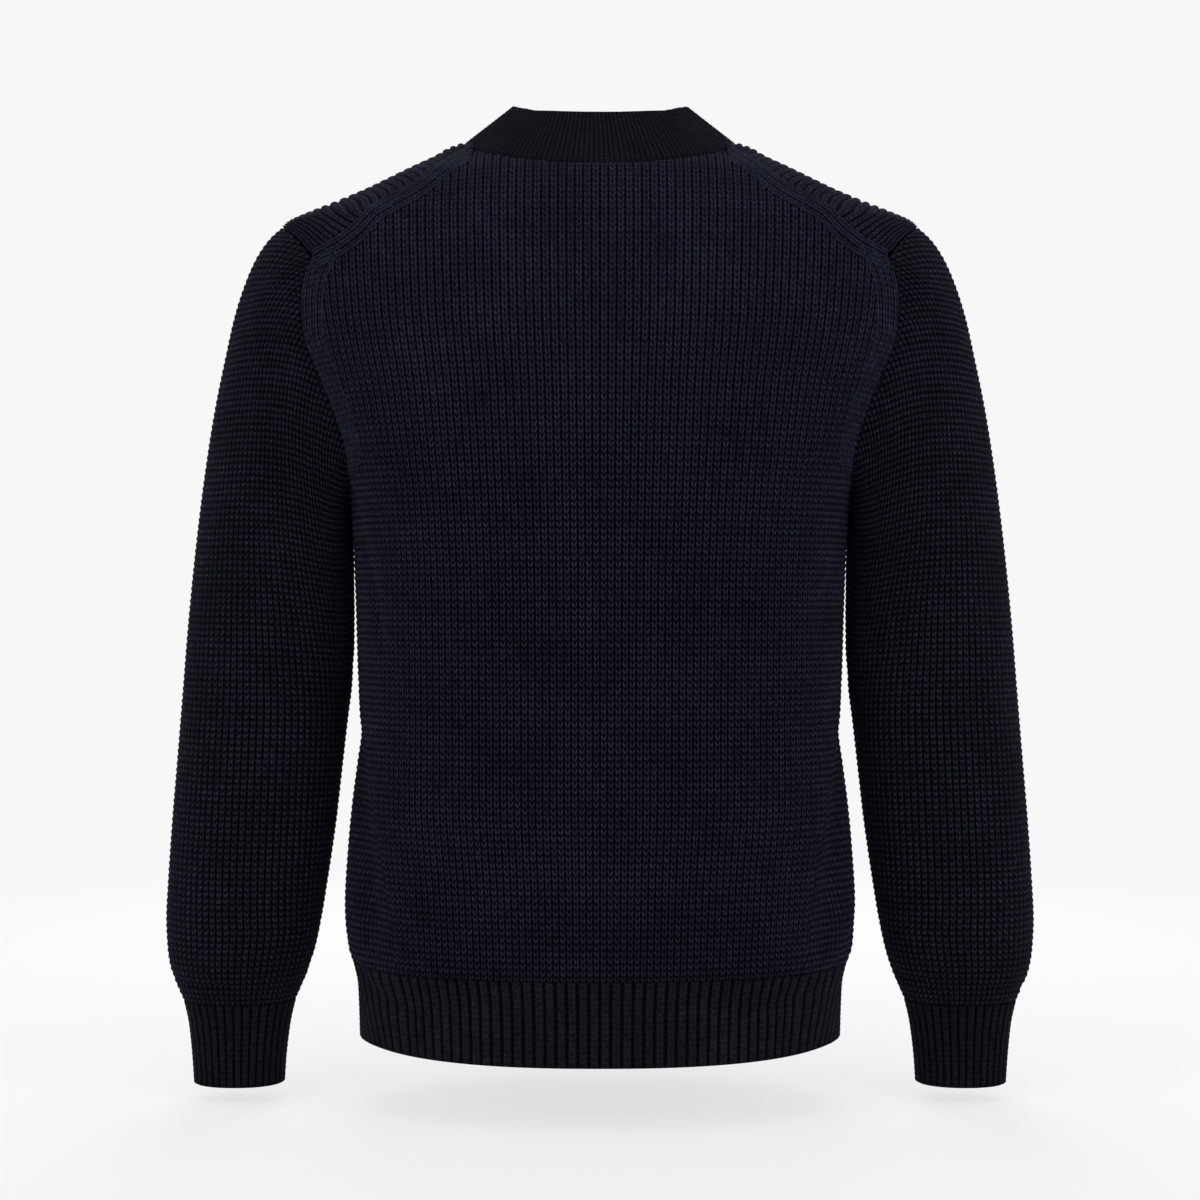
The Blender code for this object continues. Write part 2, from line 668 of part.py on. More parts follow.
def build_front(design, material, collection):
    """The front: hem to neckline, and on over the shoulders to their seams on the back."""
    right = np.concatenate([design.side, design.front_arm[1:]])
    top = np.concatenate([design.neck_front[::-1], design.ridge[1:]])
    bottom = np.stack([np.linspace(180.0, design.side[0][0], len(top)),
                       np.full(len(top), HEM_TOP)], axis=-1)
    lower_rows = SIDE_ROWS + FRONT_ARM_ROWS[0]
    outer, inner = surface(fill_panel(180.0, FRONT_SLOPE_START, bottom, top, right, lower_rows))
    every = slice(None)
    side = body_seam(design.side, np.array([-0.3, 1.0, 0.0]))
    hem = body_seam(bottom, np.array([0.0, 0.0, -1.0]))
    neck_count = NECK_COLUMNS + 1
    neck_inward, neck_across = design.neck_inward[::-1], design.neck_across[::-1]
    arm_first = sum(BACK_ARM_ROWS) + CAP_ROWS
    closed_inward = np.concatenate([design.arm_inward, design.arm_inward[:1]])[arm_first:][::-1]
    closed_across = np.concatenate([design.arm_across, design.arm_across[:1]])[arm_first:][::-1]
    edges = [
        (slice(0, SIDE_ROWS + 1), -1, *side),
        (0, every, *hem),
        (-1, slice(0, neck_count), neck_inward[:neck_count], neck_across[:neck_count]),
        (slice(SIDE_ROWS, None), -1, closed_inward, closed_across),
    ]
    outer, inner = inset_edges(outer, inner, edges)
    wall = Wall()
    add_both_sides(wall, outer, inner)

    cap = design.cap[::-1]
    outer, inner = surface(fill_patch(design.ridge, design.shoulder,
                                      design.neck_side[::-1], cap))
    shoulder = body_seam(design.shoulder, np.array([-0.2, 0.6, -1.0]))
    side_neck = slice(NECK_COLUMNS, NECK_COLUMNS + CAP_ROWS + 1)
    cap_arm = slice(sum(BACK_ARM_ROWS), arm_first + 1)
    edges = [
        (-1, every, *shoulder),
        (every, 0, design.neck_inward[side_neck][::-1], design.neck_across[side_neck][::-1]),
        (every, -1, design.arm_inward[cap_arm][::-1], design.arm_across[cap_arm][::-1]),
    ]
    outer, inner = inset_edges(outer, inner, edges)
    add_both_sides(wall, outer, inner)
    return wall.build("front", material, collection)


def build_sleeve(name, design, flip, material, collection):
    """A set-in sleeve, from the armhole to the top of the cuff."""
    grid = design.sleeve.copy()
    inner = grid - WALL * design.sleeve_normals
    grid[0] += design.arm_across * SEAM_GAP / 2.0
    inner[0] = grid[0] + WALL * design.arm_inward
    if flip:
        grid, inner = mirrored(grid), mirrored(inner)
    wall = Wall()
    wall.add(grid, inner, closed=True)
    return wall.build(name, material, collection)


def band_mesh(name, outer, inner, closed, material, collection):
    """Join a fine ribbed outside to a coarser plain inside, along all their edges."""
    rows, columns = outer.shape[:2]
    inner_columns = inner.shape[1]
    spans = inner_columns if closed else inner_columns - 1
    step = (columns if closed else columns - 1) // spans
    shift = rows * columns

    def outside(i, j):
        return i * columns + j % columns

    def inside(i, j):
        return shift + i * inner_columns + j % inner_columns

    faces = []
    for i in range(rows - 1):
        for j in range(spans * step):
            faces.append([outside(i, j), outside(i, j + 1),
                          outside(i + 1, j + 1), outside(i + 1, j)])
        for j in range(spans):
            faces.append([inside(i + 1, j), inside(i + 1, j + 1),
                          inside(i, j + 1), inside(i, j)])
        if not closed:
            for end, inner_end in ((0, 0), (columns - 1, inner_columns - 1)):
                faces.append([outside(i, end), outside(i + 1, end),
                              inside(i + 1, inner_end), inside(i, inner_end)])
    for i in (0, rows - 1):
        for j in range(spans):
            chain = [outside(i, j * step + c) for c in range(step, -1, -1)]
            faces.append(chain + [inside(i, j), inside(i, j + 1)])
    points = list(outer.reshape(-1, 3)) + list(inner.reshape(-1, 3))
    return mesh_object(name, points, faces, material, collection)


def ribbed_band(name, base, normals, relief, closed, material, collection):
    """A ribbed band over a plain inside.

    base and normals are rows of points with RIB_COLUMNS columns for each rib; the first column
    of a rib is its groove, and the inside has one column for each rib.
    """
    raised = (np.arange(base.shape[1]) % RIB_COLUMNS != 0)[None, :, None]
    outer = base + relief * raised * normals
    inner = (base - WALL * normals)[:, ::RIB_COLUMNS]
    return band_mesh(name, outer, inner, closed, material, collection)


def hem_row(turns, height, drop):
    """Return turns and heights of one row of the hem, with its lean near the sides."""
    share = (HEM_TOP - height) / (HEM_TOP - HEM_BOTTOM)
    around = signed_turn(turns)
    lean = HEM_SLANT * share * np.sin(np.radians(2.0 * around))
    lean = np.where(np.abs(around) < 90.0, lean, 0.0)
    return turns - lean, height - drop * np.cos(np.radians(turns)) ** 2


def build_hem(name, start, end, material, collection):
    """One half of the hem, ribbed, between two turns round the body."""
    fine = np.linspace(start, end, FINE + 1)
    arc = torso_point(fine, HEM_BEND)
    travel = travelled(arc)
    whole = torso_point(np.linspace(0.0, 360.0, FINE + 1), HEM_BEND)
    whole_length = travelled(whole)[-1]
    ribs = round(HEM_RIBS * travel[-1] / whole_length)
    turns = np.interp(np.linspace(0.0, travel[-1], ribs * RIB_COLUMNS + 1), travel, fine)
    half_gap = SEAM_GAP / 2.0
    rows = ((HEM_TOP - half_gap, 0.0), (HEM_BEND, 0.0), (HEM_BOTTOM, HEM_DROP))
    base, normals = [], []
    for height, drop in rows:
        row_turns, row_heights = hem_row(turns, height, drop)
        base.append(torso_point(row_turns, row_heights))
        normals.append(torso_normal(row_turns, row_heights))
    base, normals = np.array(base), np.array(normals)
    normals[0, :, 2] = 0.0
    normals = unit(normals)
    inward_along = unit(base[:, 1] - base[:, 0])
    base[:, 0] += inward_along * half_gap
    inward_along = unit(base[:, -2] - base[:, -1])
    base[:, -1] += inward_along * half_gap
    return ribbed_band(name, base, normals, HEM_RELIEF, False, material, collection)


def build_cuff(name, flip, material, collection):
    """A ribbed cuff, drawn in below the full sleeve."""
    fine = np.linspace(0.0, 2.0 * math.pi, FINE + 1)
    arc = ring_points(CUFF[1], fine)
    travel = travelled(arc)
    steps = np.linspace(0.0, travel[-1], CUFF_RIBS * RIB_COLUMNS, endpoint=False)
    angles = np.interp(steps, travel, fine)
    base = np.array([ring_points(ring, angles) for ring in CUFF])
    base[0, :, 2] -= SEAM_GAP
    normals = grid_normals(base, True)
    normals[[0, -1], :, 2] = 0.0
    normals = unit(normals)
    if flip:
        base, normals = mirrored(base), mirrored(normals)
    return ribbed_band(name, base, normals, CUFF_RELIEF, True, material, collection)


def around_neck(design, values):
    """Close the left half of a neck table round the whole neck, as a function of turn."""
    turns = np.concatenate([design.neck_turns, 360.0 - design.neck_turns[-2::-1]])
    table = np.concatenate([values, mirrored(values[-2::-1])])
    return lambda turn: np.stack([np.interp(turn, turns, table[:, c]) for c in range(3)], axis=-1)


def build_collar(design, material, collection):
    """The stand collar: finely ribbed, leaning in from the neckline to its upper edge."""
    seam = around_neck(design, design.neck_points)
    inward = around_neck(design, design.neck_inward)
    across = around_neck(design, design.neck_across)
    fine = np.linspace(0.0, 360.0, FINE + 1)
    mirror_turn = np.where(fine > 180.0, fine - 360.0, fine)
    middle = (seam(fine) + rim_point(mirror_turn)) / 2.0
    travel = travelled(middle)
    steps = np.linspace(0.0, travel[-1], COLLAR_RIBS * COLLAR_COLUMNS, endpoint=False)
    turns = np.interp(steps, travel, fine)
    signed = np.where(turns > 180.0, turns - 360.0, turns)
    bottom = seam(turns) + across(turns) * SEAM_GAP / 2.0
    top = rim_point(signed)
    base = np.array([bottom, (bottom + top) / 2.0, top])
    normals = grid_normals(base, True)
    bottom_inward = unit(inward(turns))
    raised = (np.arange(len(turns)) % COLLAR_COLUMNS != 0)[None, :, None]
    outer = base + COLLAR_RELIEF * raised * normals
    outer[0] = bottom - COLLAR_RELIEF * raised[0] * bottom_inward
    inner = base - WALL * normals
    inner[0] = bottom + WALL * bottom_inward
    inner = inner[:, ::COLLAR_INNER_STEP]
    return band_mesh("collar", outer, inner, True, material, collection)


def yarn(name, colour, roughness):
    """A matt dark yarn."""
    material = bpy.data.materials.new(name)
    material.use_nodes = True
    shader = material.node_tree.nodes["Principled BSDF"]
    shader.inputs["Base Color"].default_value = (*colour, 1.0)
    shader.inputs["Roughness"].default_value = roughness
    shader.inputs["Metallic"].default_value = 0.0
    return material


def build_jumper():
    """Build every piece into one collection."""
    for thing in list(bpy.data.objects):
        bpy.data.objects.remove(thing, do_unlink=True)
    collection = bpy.data.collections.new("knitted_jumper")
    bpy.context.scene.collection.children.link(collection)
    design = Design()
    navy = (0.0065, 0.0070, 0.0125)
    for name, builder in (("back", build_back), ("front", build_front)):
        builder(design, yarn(name + "_knit", navy, 0.9), collection)
    for name, flip in (("left", False), ("right", True)):
        build_sleeve("sleeve_" + name, design, flip, yarn("sleeve_knit_" + name, navy, 0.9),
                     collection)
        build_cuff("cuff_" + name, flip, yarn("cuff_rib_" + name, navy, 0.88), collection)
    seam = float(SEAM_TURN(HEM_TOP))
    build_hem("hem_back", -seam, seam, yarn("hem_rib_back", navy, 0.88), collection)
    build_hem("hem_front", seam, 360.0 - seam, yarn("hem_rib_front", navy, 0.88), collection)
    build_collar(design, yarn("collar_rib", navy, 0.86), collection)


build_jumper()
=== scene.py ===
"""Looks of a long-sleeved chunky-knit jumper with a ribbed stand collar, filled out as if worn.

The jumper is knitted stitch by stitch over the form of its solids: each panel is a grid of
columns (wales) and rows (courses) of yarn loops, cut off where its seams lie.  +X is the wearer's
left, -Y the front and +Z up.  Tables and named sizes are millimetres, the scene is metres.  A turn
is an angle round the body: 0 at the middle of the back, 90 at the wearer's left side and 180 at
the middle of the front.
"""
import logging
import math
from dataclasses import dataclass, field
from enum import Enum
from typing import Any, Callable, NamedTuple, Sequence

import bpy
import mathutils
import numpy as np
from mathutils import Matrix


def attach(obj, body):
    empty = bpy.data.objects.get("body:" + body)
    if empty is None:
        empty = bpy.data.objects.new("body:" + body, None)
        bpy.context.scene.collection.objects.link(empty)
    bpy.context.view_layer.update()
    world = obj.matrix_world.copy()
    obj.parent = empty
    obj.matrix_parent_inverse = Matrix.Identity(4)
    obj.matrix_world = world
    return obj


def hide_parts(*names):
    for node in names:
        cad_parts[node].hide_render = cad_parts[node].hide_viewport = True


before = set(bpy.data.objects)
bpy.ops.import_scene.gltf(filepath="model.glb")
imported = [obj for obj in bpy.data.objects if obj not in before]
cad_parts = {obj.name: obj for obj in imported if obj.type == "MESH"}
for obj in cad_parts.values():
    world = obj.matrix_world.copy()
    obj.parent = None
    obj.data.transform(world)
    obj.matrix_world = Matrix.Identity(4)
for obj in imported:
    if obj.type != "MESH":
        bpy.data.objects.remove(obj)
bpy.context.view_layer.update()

LOG = logging.getLogger("jumper")
MM = 0.001
WALL = 3.0                  # thickness of the knitted cloth
SEAM_INSET = 0.15           # each piece keeps this far back from its seam
SQUARENESS = 2.4            # of the body's sections: 2 is an ellipse, more is boxier
NECK_SQUARENESS = 2.3
SLEEVE_SQUARENESS = 2.15
HEM_TOP = -594.0
HEM_BEND = -613.0           # where the hem has drawn the body in
HEM_BOTTOM = -650.0
HEM_DROP = 4.5              # the middle of the hem hangs lower than its sides
HEM_SLANT = 14.0            # degrees by which the ribs at the sides lean back
SHOULDER_END = -57.0        # top of the armhole, on the ridge of the shoulder
NECK_HALF_WIDTH = 98.0
NECK_BACK = 78.0
NECK_FRONT = 88.0
SHOULDER_SEAM_AT_NECK = 68.0
RIM_HALF_WIDTH = 64.0
RIM_BACK = 58.0
RIM_FRONT = 66.0
CREASE_BEYOND_SEAM = 10.0   # degrees from the side seam to the bottom of the fold beside it
CREASE_WIDTH = 8.0
STRAIGHT_UP = -100.0        # above this height the wales of the body run straight up


class Section(NamedTuple):
    """One level of the body."""
    height: float
    half_width: float
    back_depth: float
    front_depth: float


class SeamPoint(NamedTuple):
    """A point of a seam on the body."""
    height: float
    turn: float


class Crease(NamedTuple):
    """Depth of the soft fold beside the side seam, at one height."""
    height: float
    depth: float


class Rim(NamedTuple):
    """Height of the collar's upper edge."""
    turn: float
    height: float


class Gauge(NamedTuple):
    """Width of a stitch of the body, at one height."""
    height: float
    wale: float


class Ring(NamedTuple):
    """One section of a sleeve or cuff, from its outer edge to its inner edge.

    armhole is the share of the armhole's own outline that the section still shows.
    """
    outer_x: float
    outer_z: float
    inner_x: float
    inner_z: float
    depth: float
    armhole: float


@dataclass(frozen=True)
class Fold:
    """A soft crease in the cloth: its middle, run, length, width and depth."""
    across: float       # mm around the piece
    along: float        # mm up the body, or up a sleeve from its cuff
    lean: float         # degrees from level
    length: float
    width: float
    depth: float        # mm inward; below 0 it stands out


TORSO = (
    Section(-665.0, 176.0, 122.0, 127.0),
    Section(-650.0, 176.2, 122.5, 127.5),
    Section(-613.0, 177.5, 124.0, 130.0),
    Section(-598.0, 180.5, 126.0, 133.0),
    Section(-584.0, 185.0, 129.0, 137.0),
    Section(-554.0, 187.0, 130.0, 139.0),
    Section(-510.0, 184.6, 126.0, 136.0),
    Section(-480.0, 182.0, 123.0, 133.0),
    Section(-451.0, 179.0, 120.0, 130.0),
    Section(-417.0, 176.5, 118.0, 128.0),
    Section(-376.0, 178.0, 120.0, 129.0),
    Section(-340.0, 179.0, 123.0, 131.0),
    Section(-300.0, 180.5, 126.0, 133.0),
    Section(-270.0, 182.3, 127.5, 133.5),
    Section(-255.0, 184.5, 128.0, 133.5),
    Section(-230.0, 193.0, 127.5, 133.0),
    Section(-200.0, 206.0, 125.5, 132.0),
    Section(-175.0, 218.0, 122.5, 129.5),
    Section(-150.0, 229.0, 118.5, 125.0),
    Section(-125.0, 236.0, 113.5, 118.0),
    Section(-100.0, 239.0, 108.0, 111.0),
    Section(-75.0, 239.0, 101.5, 102.5),
    Section(-62.0, 235.5, 97.5, 95.5),
    Section(-57.0, 232.0, 96.0, 93.0),
    Section(-50.8, 219.0, 93.2, 89.0),
    Section(-42.0, 196.8, 89.5, 81.0),
    Section(-33.0, 175.4, 85.0, 72.0),
    Section(-24.2, 157.6, 79.0, 65.0),
    Section(-15.3, 140.6, 66.5, 57.0),
    Section(-6.4, 123.6, 49.5, 48.0),
    Section(0.3, 112.7, 40.0, 41.0),
    Section(3.5, 104.3, 34.0, 36.0),
    Section(6.4, 95.5, 28.0, 31.0),
    Section(10.0, 84.0, 22.0, 25.0),
)
SIDE_SEAM = (
    SeamPoint(-665.0, 47.0),
    SeamPoint(-594.0, 47.5),
    SeamPoint(-563.0, 48.7),
    SeamPoint(-551.0, 49.5),
    SeamPoint(-520.0, 53.4),
    SeamPoint(-495.0, 58.0),
    SeamPoint(-460.0, 64.5),
    SeamPoint(-429.0, 73.0),
    SeamPoint(-405.0, 83.0),
    SeamPoint(-385.0, 90.0),
    SeamPoint(-255.0, 90.0),
)
BACK_ARMHOLE = (
    SeamPoint(-255.0, 90.0),
    SeamPoint(-252.0, 82.0),
    SeamPoint(-245.0, 76.0),
    SeamPoint(-232.0, 68.5),
    SeamPoint(-214.0, 65.4),
    SeamPoint(-196.0, 64.2),
    SeamPoint(-166.0, 63.8),
    SeamPoint(-148.0, 64.2),
    SeamPoint(-126.0, 62.5),
    SeamPoint(-112.0, 61.2),
    SeamPoint(-100.0, 59.4),
    SeamPoint(-88.0, 56.5),
)
CAP_SEAM = (
    SeamPoint(-88.0, 56.5),
    SeamPoint(-72.0, 64.0),
    SeamPoint(-63.0, 75.0),
    SeamPoint(-57.0, 90.0),
)
FRONT_ARMHOLE = (
    SeamPoint(-57.0, 90.0),
    SeamPoint(-63.0, 104.0),
    SeamPoint(-72.0, 112.0),
    SeamPoint(-88.0, 118.0),
    SeamPoint(-105.0, 121.0),
    SeamPoint(-126.0, 123.0),
    SeamPoint(-150.0, 122.5),
    SeamPoint(-175.0, 120.5),
    SeamPoint(-200.0, 117.5),
    SeamPoint(-225.0, 113.0),
    SeamPoint(-240.0, 108.0),
    SeamPoint(-250.0, 99.0),
    SeamPoint(-255.0, 90.0),
)
SHOULDER_SEAM = (
    SeamPoint(-26.0, 42.5),
    SeamPoint(-42.0, 39.9),
    SeamPoint(-54.0, 39.8),
    SeamPoint(-65.0, 41.5),
    SeamPoint(-76.0, 45.8),
    SeamPoint(-88.0, 56.5),
)
SIDE_CREASE = (
    Crease(-665.0, 0.0),
    Crease(-606.0, 0.0),
    Crease(-585.0, 3.0),
    Crease(-545.0, 6.0),
    Crease(-490.0, 6.5),
    Crease(-445.0, 4.5),
    Crease(-410.0, 0.0),
    Crease(-300.0, 0.0),
)
COLLAR_RIM = (
    Rim(-40.0, 21.0),
    Rim(0.0, 17.5),
    Rim(40.0, 21.0),
    Rim(65.0, 27.0),
    Rim(90.0, 32.0),
    Rim(115.0, 27.0),
    Rim(145.0, 8.0),
    Rim(180.0, -8.0),
    Rim(215.0, 8.0),
)
SLEEVE = (
    Ring(232.0, -57.0, 184.5, -255.0, 66.0, 1.0),
    Ring(241.0, -65.5, 184.8, -260.0, 67.5, 0.85),
    Ring(251.4, -80.0, 184.6, -267.0, 68.5, 0.62),
    Ring(261.0, -100.0, 184.2, -275.0, 69.0, 0.40),
    Ring(269.5, -125.0, 183.8, -285.0, 68.5, 0.22),
    Ring(276.0, -154.0, 183.4, -297.0, 68.0, 0.10),
    Ring(282.0, -184.0, 183.1, -311.0, 67.0, 0.03),
    Ring(287.0, -214.0, 182.9, -326.0, 66.0, 0.0),
    Ring(292.5, -252.0, 182.6, -344.0, 65.0, 0.0),
    Ring(298.3, -300.0, 182.6, -368.0, 63.0, 0.0),
    Ring(303.3, -350.0, 184.2, -395.0, 60.5, 0.0),
    Ring(307.2, -398.0, 187.5, -422.0, 58.0, 0.0),
    Ring(311.3, -448.0, 192.0, -462.0, 56.0, 0.0),
    Ring(315.0, -492.0, 196.0, -497.0, 54.0, 0.0),
    Ring(318.2, -538.0, 202.0, -538.0, 52.0, 0.0),
    Ring(319.6, -566.0, 206.6, -566.0, 50.0, 0.0),
    Ring(318.6, -588.0, 211.2, -588.0, 47.5, 0.0),
    Ring(316.0, -604.0, 216.0, -604.0, 44.0, 0.0),
    Ring(311.5, -616.0, 221.0, -616.0, 39.5, 0.0),
    Ring(307.3, -625.5, 225.2, -625.5, 35.0, 0.0),
)
CUFF = (
    Ring(307.3, -625.5, 225.2, -625.5, 35.0, 0.0),
    Ring(303.4, -644.0, 229.4, -644.0, 31.0, 0.0),
    Ring(300.8, -670.0, 232.6, -670.0, 28.0, 0.0),
    Ring(299.6, -688.0, 233.8, -688.0, 27.0, 0.0),
)
BODY_GAUGE = (
    Gauge(-668.0, 4.6),
    Gauge(-594.0, 4.6),
    Gauge(-541.0, 4.7),
    Gauge(-471.0, 4.95),
    Gauge(-332.0, 5.0),
    Gauge(-193.0, 5.4),
    Gauge(-123.0, 5.75),
    Gauge(-30.0, 5.9),
    Gauge(10.0, 5.9),
)

MM_PER_DEGREE = 2.9         # of turn, along the cloth, where the folds of the body are placed
SLEEVE_LENGTH = 560.0
SLEEVE_ROWS = 150           # sections worked out along a sleeve
ARMHOLE_SAMPLES = 140       # points along each half of an armhole
CAP_SAMPLES = 30            # points across the top of an armhole
RING_SAMPLES = 240          # points around a sleeve
PAST_THE_SEAM = 200.0       # a wale that lies past the side of any sleeve
BODY_FOLDS = (
    Fold(196.0, -292.0, 64.0, 120.0, 17.0, 2.3),
    Fold(172.0, -345.0, 74.0, 80.0, 14.0, 1.4),
    Fold(-192.0, -306.0, -58.0, 96.0, 18.0, 2.0),
    Fold(-166.0, -372.0, -70.0, 64.0, 13.0, 1.1),
    Fold(206.0, -598.0, 24.0, 74.0, 14.0, 1.8),
    Fold(150.0, -616.0, 9.0, 58.0, 12.0, 1.1),
    Fold(-198.0, -590.0, -29.0, 88.0, 15.0, 1.6),
    Fold(-128.0, -612.0, -12.0, 70.0, 12.0, 1.2),
    Fold(342.0, -296.0, -56.0, 104.0, 17.0, 2.2),
    Fold(372.0, -362.0, -68.0, 72.0, 14.0, 1.3),
    Fold(-348.0, -310.0, 60.0, 118.0, 18.0, 2.0),
    Fold(328.0, -604.0, -20.0, 82.0, 14.0, 1.6),
    Fold(-334.0, -594.0, 27.0, 66.0, 13.0, 1.7),
    Fold(-396.0, -618.0, 8.0, 60.0, 12.0, 1.0),
)
LEFT_SLEEVE_FOLDS = (
    Fold(-128.0, 300.0, 28.0, 90.0, 16.0, 2.2),
    Fold(-112.0, 268.0, 16.0, 66.0, 13.0, 1.5),
    Fold(120.0, 312.0, -30.0, 104.0, 16.0, 2.4),
    Fold(104.0, 262.0, -12.0, 58.0, 13.0, 1.3),
    Fold(-60.0, 42.0, 10.0, 84.0, 14.0, 1.6),
    Fold(52.0, 30.0, -14.0, 70.0, 13.0, 1.4),
    Fold(150.0, 58.0, 18.0, 62.0, 14.0, 1.5),
)
RIGHT_SLEEVE_FOLDS = (
    Fold(-120.0, 286.0, 24.0, 98.0, 15.0, 2.0),
    Fold(-136.0, 330.0, 34.0, 60.0, 13.0, 1.4),
    Fold(126.0, 298.0, -24.0, 88.0, 17.0, 2.3),
    Fold(98.0, 336.0, -36.0, 70.0, 14.0, 1.2),
    Fold(-44.0, 34.0, -8.0, 76.0, 13.0, 1.5),
    Fold(68.0, 46.0, 14.0, 90.0, 14.0, 1.6),
    Fold(-152.0, 52.0, -20.0, 60.0, 14.0, 1.3),
)


Array = np.ndarray


def smooth_curve(at: Sequence[float], values: Sequence[float]) -> Callable[[Any], Any]:
    """Make a function through the given values that never swings past them.

    Args:
        at: Rising places.
        values: The value at each place.

    Returns:
        A function of a place, or an array of places.
    """
    at = np.array(at, dtype=float)
    values = np.array(values, dtype=float)
    step = np.diff(at)
    slope = np.diff(values) / step
    tangent = np.concatenate(([slope[0]], np.zeros(len(slope) - 1), [slope[-1]]))
    same_sign = slope[:-1] * slope[1:] > 0.0
    both = np.where(same_sign, slope[:-1] + slope[1:], 1.0)
    tangent[1:-1] = np.where(same_sign, 2.0 * slope[:-1] * slope[1:] / both, 0.0)

    def value(where: Any) -> Any:
        """Read the curve."""
        where = np.clip(where, at[0], at[-1])
        i = np.clip(np.searchsorted(at, where) - 1, 0, len(step) - 1)
        t = (where - at[i]) / step[i]
        return ((1 + 2 * t) * (1 - t) ** 2 * values[i] + t * (1 - t) ** 2 * step[i] * tangent[i]
                + t * t * (3 - 2 * t) * values[i + 1] - t * t * (1 - t) * step[i] * tangent[i + 1])

    return value


def curve_of(rows: Sequence[Any], key: str, value: str) -> Callable[[Any], Any]:
    """Make a smooth curve of one named column of a table over another."""
    return smooth_curve([getattr(r, key) for r in rows], [getattr(r, value) for r in rows])


HALF_WIDTH = curve_of(TORSO, "height", "half_width")
BACK_DEPTH = curve_of(TORSO, "height", "back_depth")
FRONT_DEPTH = curve_of(TORSO, "height", "front_depth")
SEAM_TURN = curve_of(SIDE_SEAM, "height", "turn")
CREASE_DEPTH = curve_of(SIDE_CREASE, "height", "depth")
RIM_HEIGHT = curve_of(COLLAR_RIM, "turn", "height")
WALE = curve_of(BODY_GAUGE, "height", "wale")


def signed_power(value: Any, power: float) -> Any:
    """Raise the size of a value to a power and keep its sign."""
    return np.sign(value) * np.abs(value) ** power


def signed_turn(turn: Any) -> Any:
    """Return a turn as an angle from -180 to 180."""
    return np.mod(turn + 180.0, 360.0) - 180.0


def unit(vectors: Array) -> Array:
    """Scale vectors to length 1."""
    return vectors / np.maximum(np.linalg.norm(vectors, axis=-1, keepdims=True), 1e-9)


def travelled(points: Array, axis: int = 0) -> Array:
    """Measure how far along a row of points each of them lies.

    Args:
        points: Points, with their coordinates in the last axis.
        axis: The axis along which the row runs.

    Returns:
        The distance from the first point, with that axis kept.
    """
    steps = np.linalg.norm(np.diff(points, axis=axis), axis=-1)
    start = np.zeros_like(np.take(steps, [0], axis=axis))
    return np.concatenate([start, np.cumsum(steps, axis=axis)], axis=axis)


def fold_depth(folds: Sequence[Fold], across: Any, along: Any) -> Any:
    """Return how far the folds together press the cloth in at a place in millimetres."""
    total = 0.0 * (across + along)
    for fold in folds:
        lean = math.radians(fold.lean)
        x, z = across - fold.across, along - fold.along
        run = (x * math.cos(lean) + z * math.sin(lean)) / (0.5 * fold.length)
        side = (z * math.cos(lean) - x * math.sin(lean)) / (0.5 * fold.width)
        total = total + fold.depth * np.exp(-run ** 2 - side ** 2)
    return total


def torso_point(turn: Any, height: Any) -> Array:
    """Return the point of the body's outside at a turn and a height."""
    angle = np.radians(turn)
    x = HALF_WIDTH(height) * signed_power(np.sin(angle), 2.0 / SQUARENESS)
    depth = np.where(np.cos(angle) >= 0.0, BACK_DEPTH(height), FRONT_DEPTH(height))
    y = depth * signed_power(np.cos(angle), 2.0 / SQUARENESS)
    past_seam = np.abs(signed_turn(turn)) - SEAM_TURN(height)
    beyond = (past_seam - CREASE_BEYOND_SEAM) / CREASE_WIDTH
    reach = np.maximum(np.hypot(x, y), 1.0)
    folded = fold_depth(BODY_FOLDS, signed_turn(turn) * MM_PER_DEGREE, height)
    scale = 1.0 - (CREASE_DEPTH(height) * np.exp(-beyond ** 2) + folded) / reach
    return np.stack([x * scale, y * scale, height + 0.0 * x], axis=-1)


def torso_normal(turn: Any, height: Any) -> Array:
    """Return the outward direction of the body's outside."""
    around = torso_point(turn + 1.5, height) - torso_point(turn - 1.5, height)
    upward = torso_point(turn, height + 0.8) - torso_point(turn, height - 0.8)
    return unit(np.cross(upward, around))


def neck_point(turn: float) -> tuple[float, float]:
    """Find the neckline on the body.

    Args:
        turn: Angle round the neck.

    Returns:
        Turn and height on the body.
    """
    angle = math.radians(turn)
    depth = NECK_BACK if math.cos(angle) >= 0.0 else NECK_FRONT
    x = NECK_HALF_WIDTH * signed_power(math.sin(angle), 2.0 / NECK_SQUARENESS)
    y = depth * signed_power(math.cos(angle), 2.0 / NECK_SQUARENESS)
    low, high = -120.0, 10.0
    for _ in range(40):
        middle = (low + high) / 2.0
        body_depth = BACK_DEPTH(middle) if y >= 0.0 else FRONT_DEPTH(middle)
        fill = abs(x / HALF_WIDTH(middle)) ** SQUARENESS + abs(y / body_depth) ** SQUARENESS
        low, high = (middle, high) if fill < 1.0 else (low, middle)
    sideways = signed_power(x / HALF_WIDTH(low), SQUARENESS / 2.0)
    backward = signed_power(y / body_depth, SQUARENESS / 2.0)
    return math.degrees(math.atan2(sideways, backward)), low


